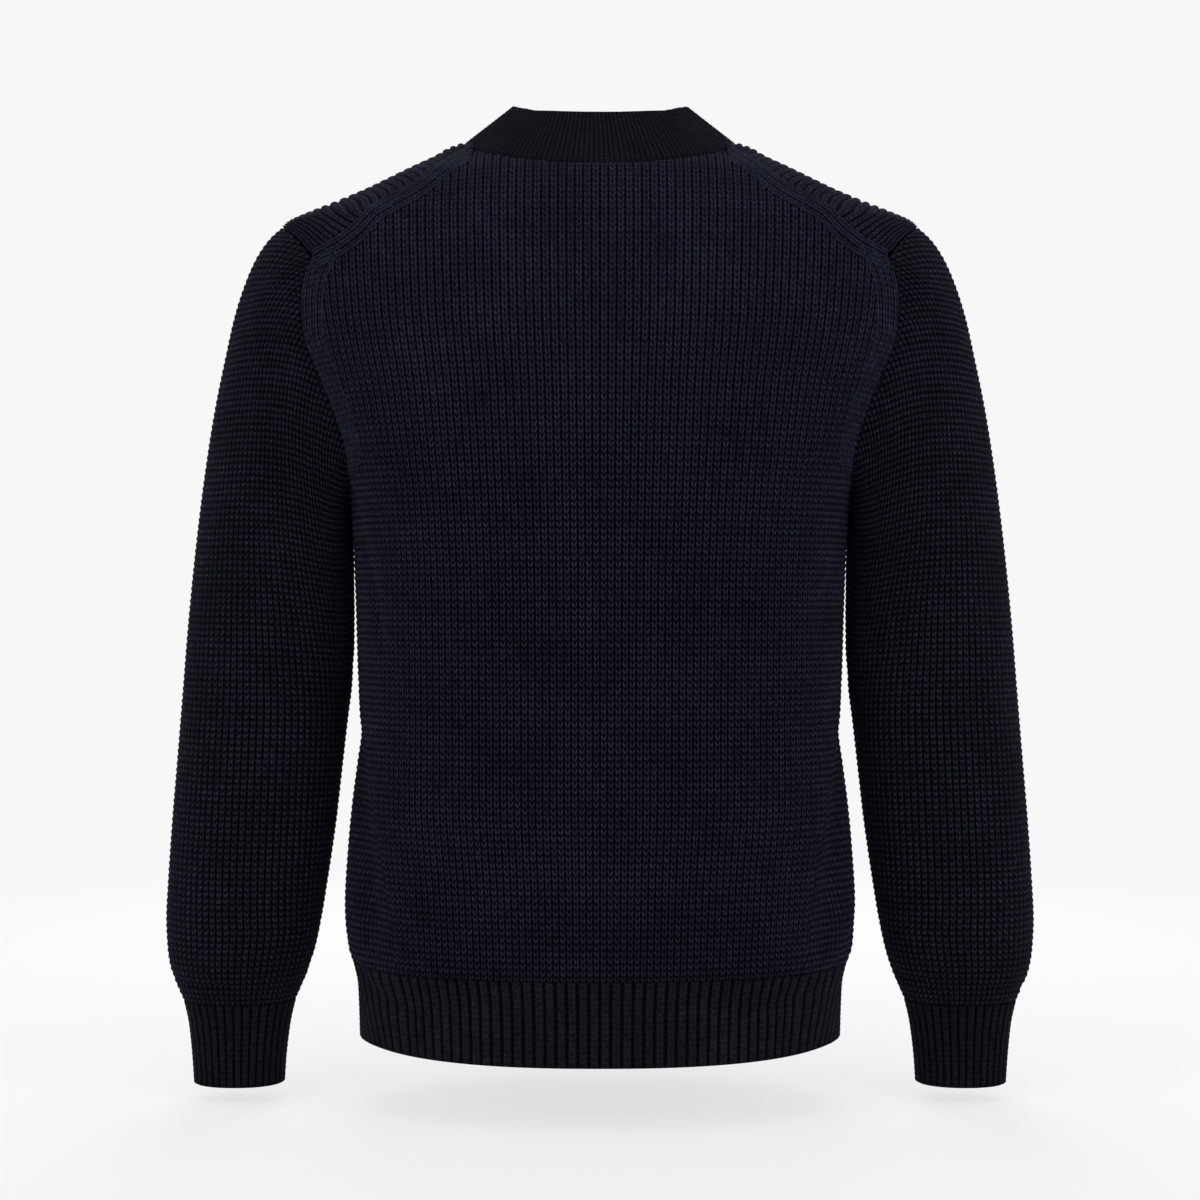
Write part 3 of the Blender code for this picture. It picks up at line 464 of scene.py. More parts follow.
def even_samples(rows: Sequence[Sequence[float]], count: int) -> Array:
    """Place points at equal distances along a seam of the body.

    Args:
        rows: Height and turn of the seam's points.
        count: How many steps to take.

    Returns:
        Rows of turn and height.
    """
    heights = np.array([row[0] for row in rows])
    turns = np.array([row[1] for row in rows])
    travel = travelled(torso_point(turns, heights))
    turn_at, height_at = smooth_curve(travel, turns), smooth_curve(travel, heights)
    fine = np.linspace(0.0, travel[-1], 400)
    length = travelled(torso_point(turn_at(fine), height_at(fine)))
    chosen = np.interp(np.linspace(0.0, length[-1], count + 1), length, fine)
    return np.stack([turn_at(chosen), height_at(chosen)], axis=-1)


def neckline(start: float, end: float, count: int) -> Array:
    """Return turn and height of the neckline between two turns round the neck."""
    return np.array([neck_point(turn) for turn in np.linspace(start, end, count + 1)])


def rim_point(turn: Any) -> Array:
    """Return a point of the collar's upper edge."""
    angle = np.radians(turn)
    x = RIM_HALF_WIDTH * signed_power(np.sin(angle), 2.0 / NECK_SQUARENESS)
    depth = np.where(np.cos(angle) >= 0.0, RIM_BACK, RIM_FRONT)
    y = depth * signed_power(np.cos(angle), 2.0 / NECK_SQUARENESS)
    return np.stack([x, y, RIM_HEIGHT(np.abs(signed_turn(turn)))], axis=-1)


class GirthTable:
    """Distances round the body, from the middle of its back or front, at every height."""

    def __init__(self, middle_turn: float) -> None:
        """Measure the body's sections every millimetre.

        Args:
            middle_turn: 0 for the back, 180 for the front.
        """
        self.heights = np.arange(-668.0, 10.0, 1.0)
        self.angles = np.linspace(0.0, 150.0, 601)
        turns = abs(middle_turn - self.angles)[None, :] + 0.0 * self.heights[:, None]
        points = torso_point(turns, self.heights[:, None] + 0.0 * turns)
        self.girth = travelled(points, axis=1)
        self.share = np.linspace(0.0, 1.0, 601)
        total = self.girth[:, -1:]
        self.inverse = np.array([np.interp(self.share * whole, row, self.angles)
                                 for whole, row in zip(total[:, 0], self.girth)])
        self.total = total[:, 0]

    def bilinear(self, table: Array, height: Array, across: Array, top: float) -> Array:
        """Read a table at heights and places from 0 to top across its columns."""
        row = np.clip((height - self.heights[0]), 0.0, len(self.heights) - 1.001)
        column = np.clip(across / top, 0.0, 1.0) * (table.shape[1] - 1.001)
        i, j = row.astype(int), column.astype(int)
        u, v = row - i, column - j
        return ((1 - u) * ((1 - v) * table[i, j] + v * table[i, j + 1])
                + u * ((1 - v) * table[i + 1, j] + v * table[i + 1, j + 1]))

    def angle(self, distance: Array, height: Array) -> Array:
        """Return the angle from the middle at a distance round the body."""
        total = np.interp(height, self.heights, self.total)
        return self.bilinear(self.inverse, height, distance / total, 1.0)

    def distance(self, angle: Array, height: Array) -> Array:
        """Return the distance from the middle at an angle."""
        return self.bilinear(self.girth, height, angle, self.angles[-1])


@dataclass(frozen=True)
class Stitch:
    """How a stitch is drawn: its places across, from the groove at 0, and their heights.

    The rows of loops rise by slant courses from the middle of a wale to its grooves, which gives
    the V of knitting, and every second row lies lower by dip.  edge is the height along seams.
    """
    places: tuple[float, ...]
    heights: tuple[float, ...]
    slant: float
    dip: float
    course: float
    edge: float = -0.1


CHUNKY = Stitch((0.0, 0.25, 0.5, 0.75), (-1.15, 0.8, 0.2, 0.8), 0.62, 0.8, 4.6)
CHUNKY_PLAIN = Stitch((0.0, 0.33, 0.67), (-1.15, 0.75, 0.75), 0.62, 0.75, 4.75, 0.2)
SLEEVE_STITCH = Stitch((0.0, 0.33, 0.67), (-1.05, 0.7, 0.7), 0.62, 0.75, 4.6, 0.2)
BAND = Stitch((0.0, 0.25, 0.5, 0.75), (-1.3, 0.9, 0.3, 0.9), 0.62, 0.5, 4.4, -0.9)
HEM_RIB = Stitch((0.0, 0.14, 0.3, 0.5, 0.7, 0.86), (-1.2, -0.4, 0.55, 0.35, 0.55, -0.4),
                 0.4, 0.25, 4.2, -0.8)
CUFF_RIB = Stitch((0.0, 0.14, 0.3, 0.5, 0.7, 0.86), (-1.1, -0.35, 0.5, 0.3, 0.5, -0.35),
                  0.4, 0.25, 4.2, -0.8)
COLLAR_RIB = Stitch((0.0, 0.3, 0.5, 0.7), (-0.75, 0.35, 0.5, 0.35), 0.35, 0.15, 3.4, -0.5)


@dataclass
class Wales:
    """Where the columns of a panel run.

    wales holds each column's place counted in stitches.  across, along and rise hold, column by
    column, its course over the form: the form's two coordinates and the courses knitted so far.
    """
    wales: Array
    across: Array
    along: Array
    rise: Array


def form_columns(first: int, last: int, stitch: Stitch) -> tuple[Array, Array]:
    """List a panel's columns.

    Args:
        first: The first whole wale.
        last: The last.
        stitch: How each is divided.

    Returns:
        Each column's place in stitches, and the number of its place within its stitch.
    """
    count = len(stitch.places)
    whole = np.repeat(np.arange(first, last), count)
    part = np.tile(np.arange(count), last - first)
    wales = whole + np.array(stitch.places)[part]
    return np.append(wales, last), np.append(part, 0)


@dataclass
class KnitPanel:
    """A closed piece of knitting over a form: raised stitches outside, plain inside."""
    name: str
    stitch: Stitch
    columns: tuple[Array, Array]
    run: Callable[[Array], Wales]
    point: Callable[[Array, Array], Array]
    normal: Callable[[Array, Array], Array]
    limit: Callable[[Array], Array] | None = None
    border: Callable[[Array], tuple[Array, Array]] | None = None
    turn_over: Callable[[Array], tuple[Array, Array]] | None = None
    height: Callable[[Array, Array, Array], Array] | None = None
    lift: float = 0.0
    wall: float = WALL
    inner_step: tuple[int, int] = (2, 8)
    closed: bool = False        # whether the first column meets the last one

    def grid(self, wales: Array, parts: Array, rows: Array, raised: bool) -> tuple[Array, ...]:
        """Lay out one side of the piece.

        Args:
            wales: The columns' places in stitches.
            parts: The number of each column's place within its stitch.
            rows: The rows' places in courses.
            raised: Whether this is the outside, with its stitches.

        Returns:
            Points on the form, finished points and stitch coordinates, all by row and column.
        """
        course = self.run(wales)
        bend = np.abs(2.0 * np.array(self.stitch.places)[parts] - 1.0) * self.stitch.slant
        rise = rows[:, None] + (bend[None, :] if raised else 0.0)
        over = rise > course.rise[:, -1][None, :]
        edge = over | (rise < 0.0)
        rise = np.clip(rise, 0.0, course.rise[:, -1][None, :])
        along = np.stack([np.interp(rise[:, i], course.rise[i], course.along[i])
                          for i in range(len(wales))], axis=1)
        across = np.stack([np.interp(rise[:, i], course.rise[i], course.across[i])
                           for i in range(len(wales))], axis=1)
        if self.limit is not None:
            across, along, outside = self.cut_off(wales, rows, rise, across, along)
            edge |= outside
        elif self.closed:
            across[:, 0], along[:, 0] = across[:, -1], along[:, -1]
        else:
            edge[:, [0, -1]] = True
        base = self.point(across, along)
        normal = self.normal(across, along)
        if raised:
            height = np.array(self.stitch.heights)[parts][None, :] * np.ones_like(rise)
            lower = (np.arange(len(rows)) % 2 == 1)[:, None] & (height > -0.4)
            height = height - self.stitch.dip * lower
            if self.height is not None:
                height = self.height(height, across, along)
            height = np.where(edge, self.stitch.edge, height) + self.lift
        else:
            # the inside lies lowest, so the yarn draws it in full painted shade
            height = np.full_like(rise, self.lift - self.wall)
        finished = base + height[..., None] * normal
        knitted = np.where(edge, 0.0, wales[None, :])
        counted = np.clip(wales[None, :], np.floor(knitted.min(axis=1, keepdims=True)),
                          np.ceil(knitted.max(axis=1, keepdims=True)))
        level = rise - (bend[None, :] if raised else 0.0)
        coordinates = np.stack([counted, level, height - self.lift], axis=-1)
        return base, finished, coordinates

    def cut_off(self, wales: Array, rows: Array, rise: Array, across: Array,
                along: Array) -> tuple[Array, Array, Array]:
        """Move the points past the side borders onto them.

        Args:
            wales: The columns' places in stitches.
            rows: The rows' places in courses.
            rise: The courses knitted at each point.
            across: First coordinate of each point.
            along: Second coordinate.

        Returns:
            Both coordinates, and which points were moved.
        """
        outside = np.abs(across) >= self.limit(along) - 1e-6
        if self.turn_over is not None:
            start, beyond = self.turn_over(wales)
            outside = np.where(rise < start[None, :], outside, beyond[None, :])
        right = wales > 0.0
        outside = np.where(right, np.logical_or.accumulate(outside & right, axis=1),
                           np.logical_or.accumulate((outside & ~right)[:, ::-1], axis=1)[:, ::-1])
        seam_across, seam_along = self.border(np.maximum(rows, 0.0))
        across = np.where(outside, seam_across[:, None] * np.where(right, 1.0, -1.0), across)
        return across, np.where(outside, seam_along[:, None], along), outside

    def weld(self, base: Array, finished: Array, coordinates: Array) -> tuple[Array, ...]:
        """Join points that fall together and drop the cells that this empties.

        Returns:
            The points kept, their stitch coordinates, the cells as lists of point numbers and
            the four sides of the border, in the direction of the cells.
        """
        rows, columns = base.shape[:2]
        keys = np.round(base.reshape(-1, 3) / 0.03).astype(np.int64)
        _, first, numbers = np.unique(keys, axis=0, return_index=True, return_inverse=True)
        numbers = numbers.reshape(rows, columns)
        cells = np.stack([numbers[:-1, :-1], numbers[:-1, 1:], numbers[1:, 1:], numbers[1:, :-1]],
                         axis=-1).reshape(-1, 4)
        crossed = (cells[:, 0] == cells[:, 2]) | (cells[:, 1] == cells[:, 3])
        faces = []
        for cell in cells[~crossed].tolist():
            ring = [c for k, c in enumerate(cell) if c != cell[k - 1]]
            if len(ring) > 2:
                faces.append(ring)
        sides = [[n for k, n in enumerate(side) if k == 0 or n != side[k - 1]]
                 for side in (numbers[0].tolist(), numbers[:, -1].tolist(),
                              numbers[-1, ::-1].tolist(), numbers[::-1, 0].tolist())]
        return finished.reshape(-1, 3)[first], coordinates.reshape(-1, 3)[first], faces, sides

    def build(self, material: bpy.types.Material) -> bpy.types.Object:
        """Knit the piece.

        Args:
            material: Its yarn.

        Returns:
            The finished object, in metres.
        """
        wales, parts = self.columns
        course = self.run(wales)
        top = math.ceil(float(course.rise.max()) * 2.0) + 1
        first = -2 * math.ceil(self.stitch.slant)
        rows = np.arange(first, top + 1) / 2.0
        outer = self.weld(*self.grid(wales, parts, rows, True))
        every = self.inner_step[0] * len(self.stitch.places)
        chosen = sorted(set(range(0, len(wales), every)) | {len(wales) - 1})
        inner_rows = np.append(rows[::self.inner_step[1]], rows[-1])
        inner = self.weld(*self.grid(wales[chosen], parts[chosen], inner_rows, False))
        shift = len(outer[0])
        points = np.concatenate([outer[0], inner[0]])
        faces = outer[2] + [[v + shift for v in face[::-1]] for face in inner[2]]
        step = 2 if self.closed else 1
        for side, lining in zip(outer[3][::step], inner[3][::step]):
            faces += self.zip_side(points, side, [v + shift for v in lining])
        if self.faces_inward(points, outer[2]):
            faces = [face[::-1] for face in faces]
        return mesh_object(self.name, points, faces, np.concatenate([outer[1], inner[1]]),
                           material)

    def faces_inward(self, points: Array, faces: list[list[int]]) -> bool:
        """Tell whether the outside's cells are wound the wrong way round."""
        wales = self.run(self.columns[0])
        column, sample = len(wales.wales) // 2, wales.rise.shape[1] // 2
        across, along = wales.across[column, sample], wales.along[column, sample]
        out = self.normal(np.array([across]), np.array([along]))[0]
        place = self.point(np.array([across]), np.array([along]))[0]
        nearest = min(faces[::7], key=lambda f: float(np.sum((points[f[0]] - place) ** 2)))
        one, two, three = (points[nearest[k]] for k in range(3))
        wound = np.cross(two - one, three - one)
        return bool(np.dot(wound, out) < 0.0)

    @staticmethod
    def zip_side(points: Array, side: list[int], lining: list[int]) -> list[list[int]]:
        """Join one side of the outside's border to the same side of the inside's.

        Args:
            points: All points of the piece.
            side: Numbers of the outside's points, in order.
            lining: Numbers of the inside's points, in order.

        Returns:
            The joining faces.
        """
        faces, i, j = [], 0, 0
        while i < len(side) - 1 or j < len(lining) - 1:
            here, there = side[i], lining[j]
            if i < len(side) - 1 and j < len(lining) - 1:
                to_side = np.sum((points[side[i + 1]] - points[there]) ** 2)
                forward = to_side <= np.sum((points[here] - points[lining[j + 1]]) ** 2)
            else:
                forward = i < len(side) - 1
            if forward:
                faces.append([side[i + 1], here, there])
                i += 1
            else:
                faces.append([here, there, lining[j + 1]])
                j += 1
        return faces


def mesh_object(name: str, points: Array, faces: list[list[int]], coordinates: Array,
                material: bpy.types.Material) -> bpy.types.Object:
    """Make a smooth object from points in millimetres.

    Args:
        name: The piece's name.
        points: Its points.
        faces: Its faces.
        coordinates: For each point its wale, its course and its height over the form.
        material: Its yarn.

    Returns:
        The object, linked to the scene.
    """
    mesh = bpy.data.meshes.new(name)
    mesh.from_pydata((points * MM).tolist(), [], faces)
    stitch = mesh.attributes.new("stitch", "FLOAT_VECTOR", "POINT")
    stitch.data.foreach_set("vector", coordinates.astype(np.float32).ravel())
    mesh.shade_smooth()
    mesh.materials.append(material)
    thing = bpy.data.objects.new(name, mesh)
    bpy.context.scene.collection.objects.link(thing)
    return thing


class Side(Enum):
    """The wearer's left and right, as the sign of x."""
    LEFT = 1.0
    RIGHT = -1.0

    @property
    def label(self) -> str:
        """Return the side's name."""
        return self.name.lower()


SAMPLES = 220               # steps along each column of a panel
NO_EDGE = 400.0             # an angle that no column reaches


def run_from_paths(wales: Array, across: Array, along: Array, points: Array, course: float,
                   even_below: float | None = None) -> Wales:
    """Count the courses along each column.

    Args:
        wales: The columns' places.
        across: First coordinate, by column and step.
        along: Second coordinate, by column and step.
        points: The points on the form.
        course: Height of a course.
        even_below: Height below which courses are counted by height alone.

    Returns:
        The columns with their count of courses.
    """
    step = np.linalg.norm(np.diff(points, axis=1), axis=-1)
    if even_below is not None:
        upright = np.abs(np.diff(points[..., 2], axis=1))
        step = np.where(points[:, 1:, 2] <= even_below, upright, step)
    rise = np.concatenate([np.zeros((len(wales), 1)), np.cumsum(step, axis=1)], axis=1) / course
    return Wales(wales, across, along, rise)


class Body:
    """The seams and girths that back and front share."""

    def __init__(self) -> None:
        """Measure the body and its seams."""
        self.back_girth = GirthTable(0.0)
        self.front_girth = GirthTable(180.0)
        self.back_armhole = self.seam_curve(BACK_ARMHOLE)
        self.front_armhole = self.seam_curve(FRONT_ARMHOLE[::-1])
        neck_back = neckline(0.0, SHOULDER_SEAM_AT_NECK, 60)
        self.neck_side = neckline(90.0, SHOULDER_SEAM_AT_NECK, 24)
        neck_front = neckline(180.0, 90.0, 80)
        start = neck_back[-1]
        self.shoulder = even_samples(((start[1], start[0]),) + SHOULDER_SEAM, 80)
        self.ridge = even_samples(((self.neck_side[0][1], 90.0), (SHOULDER_END, 90.0)), 80)
        self.cap = even_samples(CAP_SEAM[::-1], 24)
        self.back_top = self.top_curve(neck_back, self.shoulder)
        self.front_top = self.top_curve(neck_front, self.ridge)

    @staticmethod
    def seam_curve(points: Sequence[SeamPoint]) -> Callable[[Array], Array]:
        """Return the turn of a seam as a function of height."""
        rows = even_samples([(point.height, point.turn) for point in points], ARMHOLE_SAMPLES)
        return lambda height: np.interp(height, rows[:, 1], rows[:, 0])

    @staticmethod
    def top_curve(neck: Array, outward: Array) -> tuple[Array, Array]:
        """Return x and height along the top of a panel, from the middle outward."""
        rows = np.concatenate([neck, outward[1:]])
        points = torso_point(rows[:, 0], rows[:, 1])
        x = np.maximum.accumulate(points[:, 0] + 1e-6 * np.arange(len(points)))
        return x, points[:, 2]

    def back_border(self, height: Array) -> Array:
        """Return the turn of the back's side seam or armhole."""
        turn = np.where(height < -255.0, SEAM_TURN(height), self.back_armhole(height))
        return np.where(height > BACK_ARMHOLE[-1].height + 0.5, NO_EDGE, turn)

    def front_border(self, height: Array) -> Array:
        """Return the angle from the front's middle to its side seam or armhole."""
        turn = np.where(height < -255.0, SEAM_TURN(height), self.front_armhole(height))
        return 180.0 - turn

    def angle(self, girth: GirthTable, place: Array, height: Array) -> Array:
        """Return a column's angle from the middle.

        Args:
            girth: The girths of the panel's side of the body.
            place: The column's distance from the middle, in stitches.
            height: The heights wanted.
        """
        level = np.minimum(height, STRAIGHT_UP)
        low = girth.angle(place * WALE(height), level)
        x = HALF_WIDTH(level) * np.sin(np.radians(np.minimum(low, 90.0))) ** (2.0 / SQUARENESS)
        share = np.clip(x / HALF_WIDTH(height), 0.0, 1.0) ** (SQUARENESS / 2.0)
        return np.where(height > STRAIGHT_UP, np.degrees(np.arcsin(share)), low)

    def x_of(self, girth: GirthTable, place: Array, height: Array) -> Array:
        """Return how far from the middle plane a column lies at a height."""
        angle = np.minimum(self.angle(girth, place, height), 90.0)
        return HALF_WIDTH(height) * np.sin(np.radians(angle)) ** (2.0 / SQUARENESS)

    def end_height(self, girth: GirthTable, place: Array, top: tuple[Array, Array]) -> Array:
        """Return the height at which columns meet the top of their panel."""
        height = np.full_like(place, -60.0)
        for _ in range(12):
            height = 0.5 * (height + np.interp(self.x_of(girth, place, height), *top))
        return height

    def border_course(self, turn: Callable[[Array], Array], middle: float, top: float,
                      course: float) -> tuple[Array, Array]:
        """Count the courses along a panel's outer border, for the columns that end on it."""
        height = np.linspace(HEM_TOP + SEAM_INSET, top, 600)
        points = torso_point(np.abs(middle - turn(height)), height)
        step = np.linalg.norm(np.diff(points, axis=0), axis=-1)
        step = np.where(height[1:] <= STRAIGHT_UP, np.diff(height), step)
        return np.concatenate([[0.0], np.cumsum(step)]) / course, height


@dataclass
class BackPanel:
    """The back, knitted from the hem up and cast off along shoulders and neck."""
    body: Body
    stitch: Stitch = CHUNKY
    half_wales: int = 54
    under_bands: float = -1.5

    def run(self, wales: Array) -> Wales:
        """Trace the columns from hem to top."""
        body, girth, place = self.body, self.body.back_girth, np.abs(wales)
        corner = BACK_ARMHOLE[-1].height
        end = body.end_height(girth, place, body.back_top)
        beyond = body.x_of(girth, place, end) >= body.back_top[0][-1] - 0.5
        end = np.where(beyond, corner, end) - SEAM_INSET
        share = np.linspace(0.0, 1.0, SAMPLES)[None, :]
        height = HEM_TOP + SEAM_INSET + (end[:, None] - HEM_TOP - SEAM_INSET) * share
        angle = body.angle(girth, place[:, None] + 0.0 * height, height)
        on_seam = beyond[:, None] & (height > STRAIGHT_UP)
        angle = np.where(on_seam, body.back_border(np.minimum(height, corner)), angle)
        angle = angle * np.where(wales < 0.0, -1.0, 1.0)[:, None]
        return run_from_paths(wales, angle, height, torso_point(angle, height),
                              self.stitch.course, STRAIGHT_UP)

    def height(self, height: Array, across: Array, along: Array) -> Array:
        """Press the cloth down where the bands along armholes and shoulders cover it."""
        angle = np.abs(across)
        girth = self.body.back_girth
        armhole = self.body.back_armhole(along)
        inside = (girth.distance(armhole, along) - girth.distance(angle, along)) / WALE(along)
        covered = (along > -243.0) & (inside < 3.85)
        x = HALF_WIDTH(along) * np.sin(np.radians(np.minimum(angle, 90.0))) ** (2.0 / SQUARENESS)
        below = np.interp(x, *self.body.back_top) - along
        covered |= (below < 10.5) & (x > torso_x(self.body.shoulder[0]))
        return np.where(covered, self.under_bands, height)

    def build(self, yarn: bpy.types.Material) -> bpy.types.Object:
        """Knit the back."""
        body = self.body
        narrow = math.degrees(SEAM_INSET / 150.0)
        rise, height = body.border_course(body.back_border, 0.0, BACK_ARMHOLE[-1].height,
                                          self.stitch.course)

        def border(rows: Array) -> tuple[Array, Array]:
            """Follow the side seam and the armhole by courses."""
            at = np.interp(rows, rise, height)
            return body.back_border(at) - narrow, at

        return KnitPanel(
            "back_panel", self.stitch, form_columns(-self.half_wales, self.half_wales, self.stitch),
            self.run, torso_point, torso_normal,
            limit=lambda along: body.back_border(along) - narrow, border=border,
            height=self.height).build(yarn)


def torso_x(row: Array) -> float:
    """Return x of one row of turn and height."""
    return float(torso_point(row[0], row[1])[0])


@dataclass
class FrontPanel:
    """The front, which reaches over the shoulders to seams on the back."""
    body: Body
    stitch: Stitch = CHUNKY_PLAIN
    half_wales: int = 84
    wrap_steps: int = 60
    under_bands: float = -1.5

    def wrap_paths(self, along_ridge: Array) -> Array:
        """Lay the columns over the shoulder.

        Args:
            along_ridge: Each column's place along the ridge, 0 at the neck and 1 at the sleeve.

        Returns:
            Turn and height, by column and step.
        """
        body = self.body
        u = np.linspace(0.0, 1.0, len(body.ridge))
        w = np.linspace(0.0, 1.0, self.wrap_steps)
        side = np.linspace(0.0, 1.0, len(body.cap))
        u1 = along_ridge[:, None]

        def read(rows: Array, at: Array, where: Array) -> Array:
            """Read a seam's rows at places along it."""
            return np.stack([np.interp(where, at, rows[:, c]) for c in (0, 1)], axis=-1)

        ridge, shoulder = read(body.ridge, u, u1), read(body.shoulder, u, u1)
        neck, cap = read(body.neck_side, side, w)[None], read(body.cap, side, w)[None]
        u1, w = u1[..., None], w[None, :, None]
        corners = ((1 - u1) * (1 - w) * body.ridge[0] + u1 * (1 - w) * body.ridge[-1]
                   + (1 - u1) * w * body.shoulder[0] + u1 * w * body.shoulder[-1])
        return (1 - w) * ridge + w * shoulder + (1 - u1) * neck + u1 * cap - corners

    def run(self, wales: Array) -> Wales:
        """Trace the columns from hem to neck, or over the shoulder to its seam."""
        body, girth, place = self.body, self.body.front_girth, np.abs(wales)
        end = body.end_height(girth, place, body.front_top)
        x = body.x_of(girth, place, end)
        ridge_x = torso_point(body.ridge[:, 0], body.ridge[:, 1])[:, 0]
        beyond = x >= ridge_x[-1] - 0.5
        wraps = x >= ridge_x[0]
        end = np.where(beyond, SHOULDER_END, end)
        end = np.where(wraps, end, end - SEAM_INSET)
        share = np.linspace(0.0, 1.0, SAMPLES) ** 0.7
        height = HEM_TOP + SEAM_INSET + (end[:, None] - HEM_TOP - SEAM_INSET) * share[None, :]
        angle = body.angle(girth, place[:, None] + 0.0 * height, height)
        on_seam = beyond[:, None] & (height > STRAIGHT_UP)
        angle = np.where(on_seam, body.front_border(height), angle)
        ridge_at = np.interp(x, ridge_x, np.linspace(0.0, 1.0, len(ridge_x)))
        nearest = np.min(np.where(wraps, place, NO_EDGE))
        ridge_at = np.where(place == nearest, 0.0, ridge_at)
        wrap = self.wrap_paths(ridge_at)
        last = np.stack([angle[:, -1:], height[:, -1:]], axis=-1)
        over = np.stack([180.0 - wrap[..., 0], wrap[..., 1]], axis=-1)
        over = np.where(wraps[:, None, None], over, last)
        angle = np.concatenate([angle, over[..., 0]], axis=1)
        height = np.concatenate([height, over[..., 1]], axis=1)
        angle = angle * np.where(wales < 0.0, -1.0, 1.0)[:, None]
        points = self.point(angle, height)
        course = run_from_paths(wales, angle, height, points, self.stitch.course, STRAIGHT_UP)
        step = np.linalg.norm(np.diff(points[:, SAMPLES - 1:], axis=1), axis=-1)
        course.rise[:, SAMPLES:] = (course.rise[:, SAMPLES - 1:SAMPLES]
                                    + np.cumsum(step, axis=1) / self.stitch.course)
        return course

    @staticmethod
    def point(angle: Array, height: Array) -> Array:
        """Return a point of the front, at an angle from its middle."""
        return torso_point(180.0 - angle, height)

    @staticmethod
    def normal(angle: Array, height: Array) -> Array:
        """Return the outward direction there."""
        return torso_normal(180.0 - angle, height)

    def height(self, height: Array, across: Array, along: Array) -> Array:
        """Press the cloth down where the band along the shoulder seam covers it."""
        points = self.point(across, along)
        above = along - np.interp(np.abs(points[..., 0]), *self.body.back_top)
        covered = (np.abs(across) > 91.0) & (along > -100.0) & (above < 4.6)
        return np.where(covered, self.under_bands, height)

    def build(self, yarn: bpy.types.Material) -> bpy.types.Object:
        """Knit the front."""
        body = self.body
        narrow = math.degrees(SEAM_INSET / 150.0)
        rise, height = body.border_course(body.front_border, 180.0, SHOULDER_END,
                                          self.stitch.course)

        outermost = self.run(np.array([float(self.half_wales)]))
        over = slice(SAMPLES - 1, None)
        rise = np.append(rise, outermost.rise[0, over] - outermost.rise[0, SAMPLES - 1] + rise[-1])
        turn = np.append(body.front_border(height) - narrow, outermost.across[0, over])
        height = np.append(height, outermost.along[0, over])

        def border(rows: Array) -> tuple[Array, Array]:
            """Follow the side seam, the armhole and the sleeve's cap by courses."""
            return np.interp(rows, rise, turn), np.interp(rows, rise, height)

        def turn_over(wales: Array) -> tuple[Array, Array]:
            """Return the courses below the ridge, and which columns end at the sleeve."""
            course = self.run(wales)
            at_end = np.abs(course.along[:, SAMPLES - 1] - SHOULDER_END) < 0.3
            return course.rise[:, SAMPLES - 1] - 0.01, at_end

        return KnitPanel(
            "front_panel", self.stitch,
            form_columns(-self.half_wales, self.half_wales, self.stitch), self.run, self.point,
            self.normal, limit=lambda along: body.front_border(along) - narrow, border=border,
            turn_over=turn_over, height=self.height).build(yarn)


@dataclass
class ArmholeBand:
    """The edge wales of the back, which run beside the armhole up to the shoulder seam."""
    body: Body
    side: Side
    stitch: Stitch = BAND
    wales: int = 4
    start: float = -252.0

    def run(self, wales: Array) -> Wales:
        """Trace the columns upward, each so many stitches in from the seam."""
        body, girth = self.body, self.body.back_girth
        corner, before = BACK_ARMHOLE[-1], BACK_ARMHOLE[-2]
        lean = (corner.turn - before.turn) / (corner.height - before.height)
        end = np.full(len(wales), -80.0)
        for _ in range(14):
            turn = self.turn(wales, end, girth, corner, lean)
            x = HALF_WIDTH(end) * np.sin(np.radians(turn)) ** (2.0 / SQUARENESS)
            end = 0.5 * (end + np.interp(x, *body.back_top))
        share = np.linspace(0.0, 1.0, SAMPLES)[None, :]
        height = self.start + (end[:, None] - self.start) * share
        angle = self.turn(wales[:, None], height, girth, corner, lean) * self.side.value
        return run_from_paths(wales, angle, height, torso_point(angle, height),
                              self.stitch.course)

    def turn(self, wales: Array, height: Array, girth: GirthTable, corner: SeamPoint,
             lean: float) -> Array:
        """Return the turn so many stitches in from the armhole, or from its line carried on."""
        above = np.maximum(height - corner.height, 0.0)
        seam = self.body.back_armhole(height) + lean * above
        distance = girth.distance(seam, height) - wales * WALE(height) - SEAM_INSET
        return girth.angle(distance, height)

    def height(self, height: Array, across: Array, along: Array) -> Array:
        """Let the band sink into the back at its lower end."""
        sink = np.clip((self.start + 16.0 - along) / 16.0, 0.0, 1.0)
        return height - 1.8 * sink * sink

    def build(self, yarn: bpy.types.Material) -> bpy.types.Object:
        """Knit the band."""
        return KnitPanel("armhole_edge_" + self.side.label, self.stitch,
                         form_columns(0, self.wales, self.stitch), self.run, torso_point,
                         torso_normal, height=self.height, lift=0.1, wall=1.3).build(yarn)


